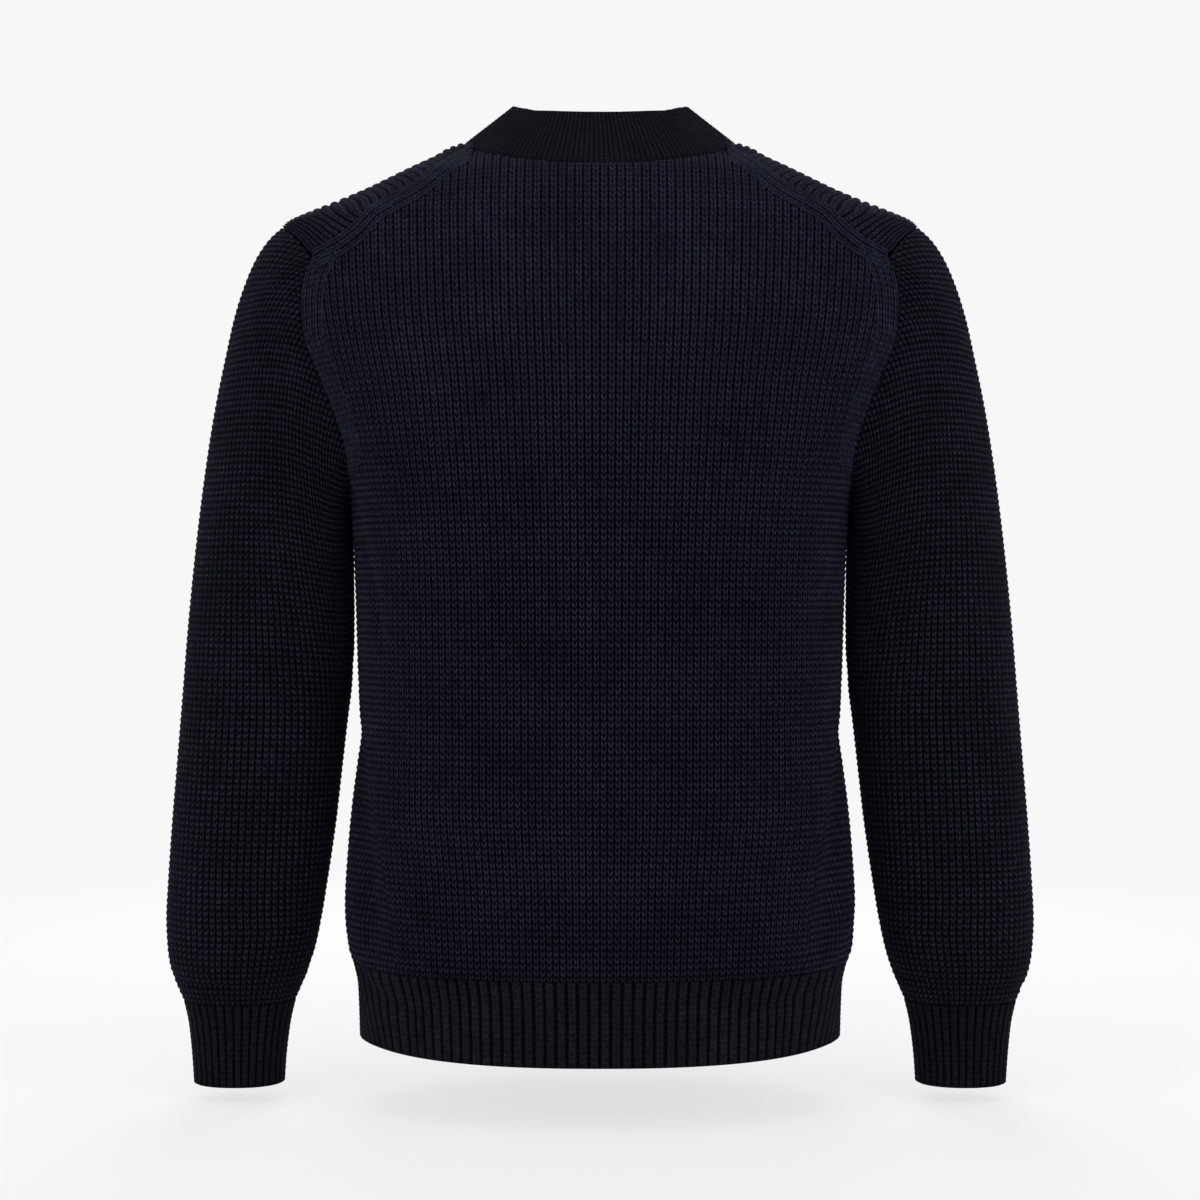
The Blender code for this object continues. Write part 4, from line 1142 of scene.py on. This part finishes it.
@dataclass
class ShoulderChain:
    """The chain wales linked along a shoulder seam."""
    body: Body
    side: Side
    stitch: Stitch = BAND
    above: int = 1
    below: int = 2
    wale: float = 5.2

    def run(self, wales: Array) -> Wales:
        """Trace the columns beside the seam, from the neck to the sleeve."""
        seam = self.body.shoulder
        points = torso_point(seam[:, 0], seam[:, 1])
        slope = np.gradient(points[:, 2], points[:, 0])
        drop = wales[:, None] * self.wale * np.sqrt(1.0 + slope * slope)[None, :]
        height = seam[:, 1][None, :] - drop
        share = np.clip(points[:, 0][None, :] / HALF_WIDTH(height), 0.0, 1.0)
        angle = np.degrees(np.arcsin(share ** (SQUARENESS / 2.0))) * self.side.value
        return run_from_paths(wales, angle, height, torso_point(angle, height),
                              self.stitch.course)

    def build(self, yarn: bpy.types.Material) -> bpy.types.Object:
        """Knit the chain."""
        return KnitPanel("shoulder_chain_" + self.side.label, self.stitch,
                         form_columns(-self.above, self.below, self.stitch), self.run,
                         torso_point, torso_normal, lift=0.45, wall=1.6).build(yarn)


class Form:
    """A tube or strip of cloth given by rows of points, read at places between them.

    across runs from -1 to 1 along each row, and along from 0 at the first row to 1 at the last.
    """

    def __init__(self, rows: Array, mirrored: bool = False) -> None:
        """Work out the outward directions.

        Args:
            rows: Points in millimetres, by row and place.
            mirrored: Whether to mirror them to the wearer's right.
        """
        points = rows * np.array([-1.0, 1.0, 1.0]) if mirrored else rows
        normals = unit(np.cross(np.gradient(points, axis=0), np.gradient(points, axis=1)))
        centre = points.mean(axis=1, keepdims=True)
        centre = np.where(np.abs(rows[:, :1] - rows[:, -1:]).max() > 5.0, 0.0 * centre, centre)
        away = (points - centre) * np.array([1.0, 1.0, 0.0])
        self.points = points
        self.normals = normals * np.sign(np.sum(normals * away))
        self.girth = travelled(points, axis=1)[:, -1]

    def read(self, table: Array, across: Array, along: Array) -> Array:
        """Read a table between its rows and places."""
        row = np.clip(along, 0.0, 1.0) * (table.shape[0] - 1.0001)
        place = (np.clip(across, -1.0, 1.0) + 1.0) / 2.0 * (table.shape[1] - 1.0001)
        i, j = row.astype(int), place.astype(int)
        u, v = (row - i)[..., None], (place - j)[..., None]
        return ((1 - u) * ((1 - v) * table[i, j] + v * table[i, j + 1])
                + u * ((1 - v) * table[i + 1, j] + v * table[i + 1, j + 1]))

    def point(self, across: Array, along: Array) -> Array:
        """Return a point of the form."""
        return self.read(self.points, across, along)

    def normal(self, across: Array, along: Array) -> Array:
        """Return the outward direction there."""
        return unit(self.read(self.normals, across, along))

    def half_girth(self, along: Array) -> Array:
        """Return half the length of a row."""
        return np.interp(along, np.linspace(0.0, 1.0, len(self.girth)), self.girth) / 2.0


def even_row(points: Array, count: int) -> Array:
    """Place points at equal distances along a row."""
    travel = travelled(points)
    even = np.linspace(0.0, travel[-1], count + 1)
    return np.stack([np.interp(even, travel, points[:, c]) for c in range(3)], axis=-1)


def ring_points(ring: Sequence[float], angles: Array) -> Array:
    """Return points of a sleeve's section; an angle of 0 is its outer edge, 90 its back."""
    outer = np.array([ring[0], 0.0, ring[1]])
    inner = np.array([ring[2], 0.0, ring[3]])
    centre, reach = (outer + inner) / 2.0, (outer - inner) / 2.0
    along = signed_power(np.cos(angles), 2.0 / SLEEVE_SQUARENESS)[:, None]
    back = signed_power(np.sin(angles), 2.0 / SLEEVE_SQUARENESS)[:, None]
    return centre + along * reach + back * np.array([0.0, ring[4], 0.0])


def fine_rings(rings: Sequence[Ring], count: int) -> Array:
    """Fill in the sections between those of a table, smoothly."""
    at = np.arange(len(rings))
    where = np.linspace(0.0, len(rings) - 1.0, count)
    return np.stack([smooth_curve(at, column)(where) for column in zip(*rings)], axis=-1)


def sleeve_form(mirrored: bool) -> Form:
    """Shape a sleeve from its armhole down to its cuff.

    Args:
        mirrored: Whether it is the wearer's right.

    Returns:
        The form, with its first row at the cuff and the seam under the arm at its ends.
    """
    up = even_samples([(p.height, p.turn) for p in BACK_ARMHOLE], ARMHOLE_SAMPLES)
    over = even_samples([(p.height, p.turn) for p in CAP_SEAM], CAP_SAMPLES)
    down = even_samples([(p.height, p.turn) for p in FRONT_ARMHOLE], ARMHOLE_SAMPLES)
    seam = np.concatenate([up, over[1:], down[1:-1]])
    armhole = torso_point(seam[:, 0], seam[:, 1])
    first = SLEEVE[0]
    centre = np.array([first.outer_x + first.inner_x, 0.0, first.outer_z + first.inner_z]) / 2.0
    reach = np.array([first.outer_x, 0.0, first.outer_z]) - centre
    along = (armhole - centre) @ reach / (reach @ reach)
    back = armhole[:, 1] / first.depth
    own = np.unwrap(np.arctan2(signed_power(back, SLEEVE_SQUARENESS / 2.0),
                               signed_power(along, SLEEVE_SQUARENESS / 2.0)))
    even = own[0] + (np.linspace(0.0, 2.0 * math.pi, len(armhole), endpoint=False)
                     * np.sign(own[-1] - own[0]))
    offset = armhole - ring_points(first, own)
    rows = []
    folds = RIGHT_SLEEVE_FOLDS if mirrored else LEFT_SLEEVE_FOLDS
    for number, ring in enumerate(fine_rings(SLEEVE, SLEEVE_ROWS)[::-1]):
        points = ring_points(ring, ring[5] * own + (1.0 - ring[5]) * even) + ring[5] * offset
        row = even_row(np.concatenate([points, points[:1]]), RING_SAMPLES)
        around = np.linspace(-180.0, 180.0, len(row))
        pressed = fold_depth(folds, around, SLEEVE_LENGTH * number / (SLEEVE_ROWS - 1.0))
        rows.append(row - pressed[:, None] * unit(row - row.mean(axis=0)))
    return Form(np.array(rows), mirrored)


def cuff_form(mirrored: bool) -> Form:
    """Shape a cuff, its lower edge first and its seam at the inner side."""
    angles = np.linspace(math.pi, 3.0 * math.pi, 361)
    rows = [even_row(ring_points(ring, angles), 168) for ring in fine_rings(CUFF, 40)[::-1]]
    return Form(np.array(rows), mirrored)


def collar_form() -> Form:
    """Shape the collar from the neckline up, with its seam at the wearer's right."""
    turns = np.linspace(-90.0, 270.0, 481)
    seam = np.array([neck_point(turn) for turn in turns])
    bottom = torso_point(seam[:, 0], seam[:, 1])
    top = rim_point(turns)
    share = np.linspace(0.0, 1.0, 24)[:, None, None]
    rows = (1.0 - share) * bottom + share * top
    return Form(np.array([even_row(row, 480) for row in rows]))


def hem_form(start: float, end: float) -> Form:
    """Shape half of the hem between two turns, its lower edge first.

    Args:
        start: The turn at one side seam.
        end: The turn at the other.

    Returns:
        The form.
    """
    fine = np.linspace(start, end, 721)
    travel = travelled(torso_point(fine, HEM_BEND))
    turns = np.interp(np.linspace(0.0, travel[-1], 361), travel, fine)
    around = signed_turn(turns)
    rows = []
    for height in np.linspace(HEM_BOTTOM, HEM_TOP - SEAM_INSET, 40):
        share = (HEM_TOP - height) / (HEM_TOP - HEM_BOTTOM)
        lean = HEM_SLANT * share * np.sin(np.radians(around)) ** 6 * np.sign(around)
        drop = HEM_DROP * np.clip((HEM_BEND - height) / (HEM_BEND - HEM_BOTTOM), 0.0, 1.0)
        heights = height - drop * np.cos(np.radians(turns)) ** 2
        rows.append(torso_point(turns - lean, heights))
    return Form(np.array(rows))


@dataclass
class Sleeve:
    """A set-in sleeve, knitted from the cuff up to the armhole."""
    side: Side
    stitch: Stitch = SLEEVE_STITCH
    half_wales: int = 56
    wale: float = 5.1
    sides: float = 0.9985
    gathered: float = 0.2       # share of the length, above the cuff, along which it is gathered

    def build(self, yarn: bpy.types.Material) -> bpy.types.Object:
        """Knit the sleeve."""
        form = sleeve_form(self.side is Side.RIGHT)
        along = np.linspace(0.001, 0.999, SAMPLES)

        def run(wales: Array) -> Wales:
            """Trace the columns, which lie parallel to the middle of the sleeve."""
            rows = along[None, :] + 0.0 * wales[:, None]
            across = wales[:, None] * self.wale / form.half_girth(np.maximum(rows, self.gathered))
            return run_from_paths(wales, across, rows, form.point(across, rows),
                                  self.stitch.course)

        border = run(np.array([PAST_THE_SEAM]))
        return KnitPanel("sleeve_knit_" + self.side.label, self.stitch,
                         form_columns(-self.half_wales, self.half_wales, self.stitch), run,
                         form.point, form.normal,
                         limit=lambda at: self.sides + 0.0 * at,
                         border=lambda rows: (self.sides + 0.0 * rows,
                                              np.interp(rows, border.rise[0], along))).build(yarn)


@dataclass
class RibbedBand:
    """A ribbed hem, cuff or collar with a set number of ribs along it."""
    name: str
    form: Form
    stitch: Stitch
    ribs: int
    wall: float = WALL
    closed: bool = False

    def build(self, yarn: bpy.types.Material) -> bpy.types.Object:
        """Knit the band from its lower edge up."""
        share = np.linspace(0.002, 0.998, 60)
        ends = 1.0 if self.closed else 1.0 - SEAM_INSET / 5.0 / self.form.half_girth(0.5)

        def run(wales: Array) -> Wales:
            """Trace the ribs straight up."""
            rows = share[None, :] + 0.0 * wales[:, None]
            across = (2.0 * wales[:, None] / self.ribs - 1.0) * ends + 0.0 * rows
            return run_from_paths(wales, across, rows, self.form.point(across, rows),
                                  self.stitch.course)

        return KnitPanel(self.name, self.stitch, form_columns(0, self.ribs, self.stitch), run,
                         self.form.point, self.form.normal, wall=self.wall,
                         inner_step=(1, 6), closed=self.closed).build(yarn)


def linear(code: str) -> tuple[float, float, float, float]:
    """Turn an sRGB hex colour into linear red, green, blue and alpha."""
    parts = [int(code[i:i + 2], 16) / 255.0 for i in (1, 3, 5)]
    red, green, blue = (c / 12.92 if c <= 0.04045 else ((c + 0.055) / 1.055) ** 2.4
                        for c in parts)
    return red, green, blue, 1.0


def add_node(tree: bpy.types.NodeTree, kind: str, inputs: dict[Any, Any] | None = None,
             **settings: Any) -> bpy.types.Node:
    """Add a node.

    Args:
        tree: The node tree.
        kind: Blender's name for the kind of node.
        inputs: By socket, an output to link or a value to set.
        settings: The node's own settings.

    Returns:
        The node.
    """
    node = tree.nodes.new(kind)
    for name, value in settings.items():
        setattr(node, name, value)
    for socket, value in (inputs or {}).items():
        if isinstance(value, bpy.types.NodeSocket):
            tree.links.new(value, node.inputs[socket])
        else:
            node.inputs[socket].default_value = value
    return node


@dataclass(frozen=True)
class WoolYarn:
    """Soft-spun wool in marled navy, knitted and lightly washed, which leaves it matt and hairy.

    It gives the eye near-black painted shade in the grooves and between and under the loops, a dull
    slate bloom on the crowns of the stitches where loose fibres catch the light, and faint paler
    flecks.
    """
    name: str
    crown: str = "#1e202f"
    # painted shade: the near-black colour drawn in the grooves and under the loops
    shaded_groove: str = "#010102"
    fleck: str = "#34374a"
    roughness: float = 0.92
    ior: float = 1.55
    sheen: float = 0.03
    specular: float = 0.02
    sheen_roughness: float = 0.55
    sheen_tint: str = "#9fa4b8"
    fibre_mm: float = 0.5       # a hair is 0.02 mm; this is the size of the tufts they form
    fleck_mm: float = 1.6
    shade_mm: float = 45.0      # patches where the cloth was brushed a little more
    # the stitch heights between which the painted shade goes from full to none
    low: float = -1.1
    high: float = 0.6
    leg_shade: float = 0.75     # how dark the painted shade between the two legs of a stitch is
    loop_shade: float = 0.85    # and the painted shade where one loop slips under the next
    spread: float = 0.3         # how unlike each other single legs of stitches are
    drift: float = 0.24         # by how many stitches the loops wander
    uneven_mm: float = 9.0

    ropes_from: float = 10.0    # height in metres from which loops pull tight into ropes and their painted shade evens out
    ropes_at: float = 11.0

    def build(self) -> bpy.types.Material:
        """Make the material.

        Returns:
            A material with painted shade, darker the deeper the stitches stored with each piece
            lie.
        """
        material = bpy.data.materials.new(self.name)
        material.use_nodes = True
        tree = material.node_tree
        shader = tree.nodes["Principled BSDF"]
        place = add_node(tree, "ShaderNodeTexCoord").outputs["Object"]
        stitch = add_node(tree, "ShaderNodeAttribute", attribute_name="stitch")
        axes = add_node(tree, "ShaderNodeSeparateXYZ", {0: stitch.outputs["Vector"]})
        # painted shade: the lower a stitch lies over its form, the closer it is drawn to the groove
        # colour
        depth = add_node(tree, "ShaderNodeMapRange",
                         {"Value": axes.outputs["Z"], "From Min": self.low,
                          "From Max": self.high}, interpolation_type="SMOOTHSTEP")
        tufts = add_node(tree, "ShaderNodeTexNoise",
                         {"Vector": place, "Scale": 1.0 / (self.fibre_mm * MM), "Detail": 2.0,
                          "Roughness": 0.6})
        flecks = add_node(tree, "ShaderNodeTexNoise",
                          {"Vector": place, "Scale": 1.0 / (self.fleck_mm * MM), "Detail": 1.0,
                           "Roughness": 0.5})
        patches = add_node(tree, "ShaderNodeTexNoise",
                           {"Vector": place, "Scale": 1.0 / (self.shade_mm * MM), "Detail": 2.0})
        uneven = add_node(tree, "ShaderNodeTexNoise",
                          {"Vector": place, "Scale": 1.0 / (self.uneven_mm * MM), "Detail": 1.0})
        drift = add_node(tree, "ShaderNodeVectorMath",
                         {0: uneven.outputs["Color"], 1: (self.drift,) * 3,
                          2: stitch.outputs["Vector"]}, operation="MULTIPLY_ADD")
        drifted = add_node(tree, "ShaderNodeSeparateXYZ", {0: drift.outputs[0]})
        turns = [add_node(tree, "ShaderNodeMath",
                          {0: drifted.outputs[axis], 1: 2.0 * math.pi, 2: -math.pi * self.drift},
                          operation="MULTIPLY_ADD").outputs[0] for axis in ("X", "Y")]
        rounded = add_node(tree, "ShaderNodeVectorMath", {0: stitch.outputs["Vector"],
                                                          1: (0.5, 1.0, 100.0)}, operation="SNAP")
        chance = add_node(tree, "ShaderNodeTexWhiteNoise", {"Vector": rounded.outputs[0]})
        each = add_node(tree, "ShaderNodeMapRange",
                        {"Value": chance.outputs["Value"], "To Min": 1.0 - self.spread,
                         "To Max": 1.0 + self.spread})
        wave = add_node(tree, "ShaderNodeMath", {0: turns[0]}, operation="SINE")
        legs = add_node(tree, "ShaderNodeMath", {0: wave.outputs[0]}, operation="ABSOLUTE")
        loops = add_node(tree, "ShaderNodeMath", {0: turns[1]}, operation="COSINE")
        # painted shade between the two legs of each stitch and where each loop slips under the next
        across = add_node(tree, "ShaderNodeMapRange",
                          {"Value": legs.outputs[0], "To Min": 1.0 - self.leg_shade})
        along = add_node(tree, "ShaderNodeMapRange",
                         {"Value": loops.outputs[0], "From Min": -1.0,
                          "To Min": 1.0 - self.loop_shade})
        # higher up the body the painted shade under the loops is evened out
        height = add_node(tree, "ShaderNodeSeparateXYZ", {0: place})
        tight = add_node(tree, "ShaderNodeMapRange",
                         {"Value": height.outputs["Z"], "From Min": self.ropes_from,
                          "From Max": self.ropes_at, "To Max": 0.65})
        merged = add_node(tree, "ShaderNodeMix",
                          {0: tight.outputs["Result"], 2: along.outputs["Result"], 3: 0.75})
        drawn = add_node(tree, "ShaderNodeMath",
                         {0: across.outputs["Result"], 1: merged.outputs[0]},
                         operation="MULTIPLY")
        # all the painted shade together: 0 is full shade and 1 is none
        painted_shade = add_node(tree, "ShaderNodeMath",
                        {0: drawn.outputs[0], 1: depth.outputs["Result"]}, operation="MULTIPLY")
        raised = add_node(tree, "ShaderNodeMath",
                          {0: painted_shade.outputs[0], 1: each.outputs["Result"]}, operation="MULTIPLY")
        # groove colour in full painted shade, crown colour where none is painted
        body = add_node(tree, "ShaderNodeMix",
                        {0: raised.outputs[0], 6: linear(self.shaded_groove),
                         7: linear(self.crown)}, data_type="RGBA")
        few = add_node(tree, "ShaderNodeMapRange",
                       {"Value": flecks.outputs[0], "From Min": 0.56, "From Max": 0.74,
                        "To Max": 0.5})
        on_crowns = add_node(tree, "ShaderNodeMath",
                             {0: few.outputs["Result"], 1: raised.outputs[0]},
                             operation="MULTIPLY")
        marled = add_node(tree, "ShaderNodeMix",
                          {0: on_crowns.outputs[0], 6: body.outputs[2], 7: linear(self.fleck)},
                          data_type="RGBA")
        shade = add_node(tree, "ShaderNodeMapRange",
                         {"Value": patches.outputs[0], "From Min": 0.3, "From Max": 0.7,
                          "To Min": 0.82, "To Max": 1.12})
        tone = add_node(tree, "ShaderNodeVectorMath",
                        {0: marled.outputs[2], 1: shade.outputs["Result"]}, operation="MULTIPLY")
        bump = add_node(tree, "ShaderNodeBump",
                        {"Height": tufts.outputs[0], "Strength": 0.55,
                         "Distance": self.fibre_mm * MM})
        tree.links.new(tone.outputs[0], shader.inputs["Base Color"])
        tree.links.new(bump.outputs["Normal"], shader.inputs["Normal"])
        shader.inputs["Roughness"].default_value = self.roughness
        shader.inputs["IOR"].default_value = self.ior
        shader.inputs["Specular IOR Level"].default_value = self.specular
        shader.inputs["Sheen Weight"].default_value = self.sheen
        shader.inputs["Sheen Roughness"].default_value = self.sheen_roughness
        shader.inputs["Sheen Tint"].default_value = linear(self.sheen_tint)
        return material


@dataclass(frozen=True)
class LitAcrylic:
    """Opal acrylic, cast and lit from below, which leaves only a faint soft shadow on it."""
    name: str = "lit_opal_acrylic"
    colour: str = "#6f6f6f"
    glow: float = 0.70
    roughness: float = 0.95
    solid_to: float = 0.5
    gone_by: float = 1.6

    def build(self) -> bpy.types.Material:
        """Make the material, which fades out far from the jumper."""
        material = bpy.data.materials.new(self.name)
        material.use_nodes = True
        tree = material.node_tree
        shader = tree.nodes["Principled BSDF"]
        shader.inputs["Base Color"].default_value = linear(self.colour)
        shader.inputs["Roughness"].default_value = self.roughness
        shader.inputs["Specular IOR Level"].default_value = 0.0
        shader.inputs["Emission Color"].default_value = (1.0, 1.0, 1.0, 1.0)
        shader.inputs["Emission Strength"].default_value = self.glow
        place = add_node(tree, "ShaderNodeTexCoord").outputs["Object"]
        far = add_node(tree, "ShaderNodeVectorMath", {0: place}, operation="LENGTH")
        fade = add_node(tree, "ShaderNodeMapRange",
                        {"Value": far.outputs["Value"], "From Min": self.solid_to,
                         "From Max": self.gone_by, "To Min": 1.0, "To Max": 0.0},
                        interpolation_type="SMOOTHSTEP")
        tree.links.new(fade.outputs["Result"], shader.inputs["Alpha"])
        return material


@dataclass
class Studio:
    """Camera, lights, air and floor."""
    camera_height: float = -0.332
    camera_distance: float = 1.7
    lens: float = 68.9
    floor_height: float = -0.70
    middle: tuple[float, float, float] = (0.0, 0.0, -0.3)       # where the lights aim
    air: str = "#f7f7f7"
    sweep: LitAcrylic = LitAcrylic()

    def add_light(self, name: str, place: tuple[float, float, float], size: float,
                  power: float) -> None:
        """Hang a square soft light that faces the jumper.

        Args:
            name: Its name.
            place: Its place in metres.
            size: Length of its sides.
            power: Watts.
        """
        data = bpy.data.lights.new(name, "AREA")
        data.shape, data.size, data.energy = "SQUARE", size, power
        light = bpy.data.objects.new(name, data)
        light.location = place
        aim = mathutils.Vector(self.middle) - light.location
        light.rotation_euler = aim.to_track_quat("-Z", "Y").to_euler()
        bpy.context.scene.collection.objects.link(light)

    def build(self) -> None:
        """Set up the studio."""
        scene = bpy.context.scene
        data = bpy.data.cameras.new("camera")
        data.lens, data.sensor_width = self.lens, 36.0
        camera = bpy.data.objects.new("camera", data)
        camera.location = (0.0, self.camera_distance, self.camera_height)
        camera.rotation_euler = (math.pi / 2.0, 0.0, math.pi)
        scene.collection.objects.link(camera)
        scene.camera = camera
        self.add_light("overhead", (0.0, 0.7, 1.5), 1.4, 10.0)
        self.add_light("front_softbox", (0.0, -2.0, 0.4), 1.4, 45.0)
        self.add_light("left_softbox", (1.6, 1.6, 0.3), 1.2, 16.0)
        self.add_light("right_softbox", (-1.6, 1.6, 0.3), 1.2, 16.0)
        world = bpy.data.worlds.new("studio")
        world.use_nodes = True
        world.node_tree.nodes["Background"].inputs["Color"].default_value = linear(self.air)
        scene.world = world
        scene.view_settings.view_transform = "Standard"
        mesh = bpy.data.meshes.new("floor")
        count, reach = 96, self.sweep.gone_by + 0.1
        ring = [(reach * math.cos(2.0 * math.pi * i / count),
                 reach * math.sin(2.0 * math.pi * i / count), 0.0) for i in range(count)]
        mesh.from_pydata(ring, [], [list(range(count))])
        mesh.materials.append(self.sweep.build())
        floor = bpy.data.objects.new("floor", mesh)
        floor.location = (0.0, 0.0, self.floor_height)
        scene.collection.objects.link(floor)


@dataclass(frozen=True)
class Cut:
    """A piece's knitted width and length in metres and its area, as round figures."""
    width: float
    length: float
    area: float


HEM_RIBS = 100              # all round
HEM_BACK_RIBS = 38
CUFF_RIBS = 36
COLLAR_RIBS = 160
HEM_SPACE = 0.05            # degrees between each hem's end and the side seam


@dataclass
class Jumper:
    """The whole jumper."""
    body_yarn: WoolYarn = WoolYarn("marled_wool_body", ropes_from=-0.27, ropes_at=-0.10)
    sleeve_yarn: WoolYarn = WoolYarn("marled_wool_sleeve", crown="#1c1e29")
    edge_yarn: WoolYarn = WoolYarn("marled_wool_edge", leg_shade=0.95, loop_shade=0.5)
    cuff_yarn: WoolYarn = WoolYarn("marled_wool_cuff", crown="#131419", fleck="#202229",
                                   leg_shade=0.3, loop_shade=0.35)
    rib_yarn: WoolYarn = WoolYarn("marled_wool_rib", crown="#15161c", fleck="#24262f",
                                  leg_shade=0.25, loop_shade=0.35)
    collar_yarn: WoolYarn = WoolYarn("marled_wool_collar", crown="#111218", fleck="#1e2028",
                                     leg_shade=0.3, loop_shade=0.3)

    def dress(self, piece: bpy.types.Object, node: str) -> None:
        """Hang a piece on the root, hide the model's part that it replaces and log how large it was
        knitted.
        """
        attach(piece, "root")
        if node:
            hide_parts(node)
        mesh = piece.data
        area = sum(polygon.area for polygon in mesh.polygons) / 2.0
        triangles = sum(len(polygon.vertices) - 2 for polygon in mesh.polygons)
        LOG.info("%s: %d triangles, %.4f square metres", piece.name, triangles, area)

    def build(self) -> None:
        """Knit every piece."""
        wool, sleeve = self.body_yarn.build(), self.sleeve_yarn.build()
        rib, collar = self.rib_yarn.build(), self.collar_yarn.build()
        cuff, edge = self.cuff_yarn.build(), self.edge_yarn.build()
        body = Body()
        self.dress(BackPanel(body).build(wool), "back")
        self.dress(FrontPanel(body).build(wool), "front")
        for side in Side:
            self.dress(ArmholeBand(body, side).build(edge), "")
            self.dress(ShoulderChain(body, side).build(edge), "")
            self.dress(Sleeve(side).build(sleeve), "sleeve_" + side.label)
            self.dress(RibbedBand("cuff_ribs_" + side.label, cuff_form(side is Side.RIGHT),
                                  CUFF_RIB, CUFF_RIBS, closed=True).build(cuff),
                       "cuff_" + side.label)
        seam = float(SEAM_TURN(HEM_TOP))
        self.dress(RibbedBand("hem_ribs_back", hem_form(HEM_SPACE - seam, seam - HEM_SPACE),
                              HEM_RIB, HEM_BACK_RIBS).build(rib),
                   "hem_back")
        self.dress(RibbedBand("hem_ribs_front",
                              hem_form(seam + HEM_SPACE, 360.0 - seam - HEM_SPACE), HEM_RIB,
                              HEM_RIBS - HEM_BACK_RIBS).build(rib),
                   "hem_front")
        self.dress(RibbedBand("collar_ribs", collar_form(), COLLAR_RIB, COLLAR_RIBS,
                              closed=True).build(collar),
                   "collar")


def main() -> None:
    """Build the jumper and its studio."""
    logging.basicConfig(level=logging.INFO, format="%(name)s: %(message)s")
    Studio().build()
    Jumper().build()


if __name__ == "__main__":
    main()
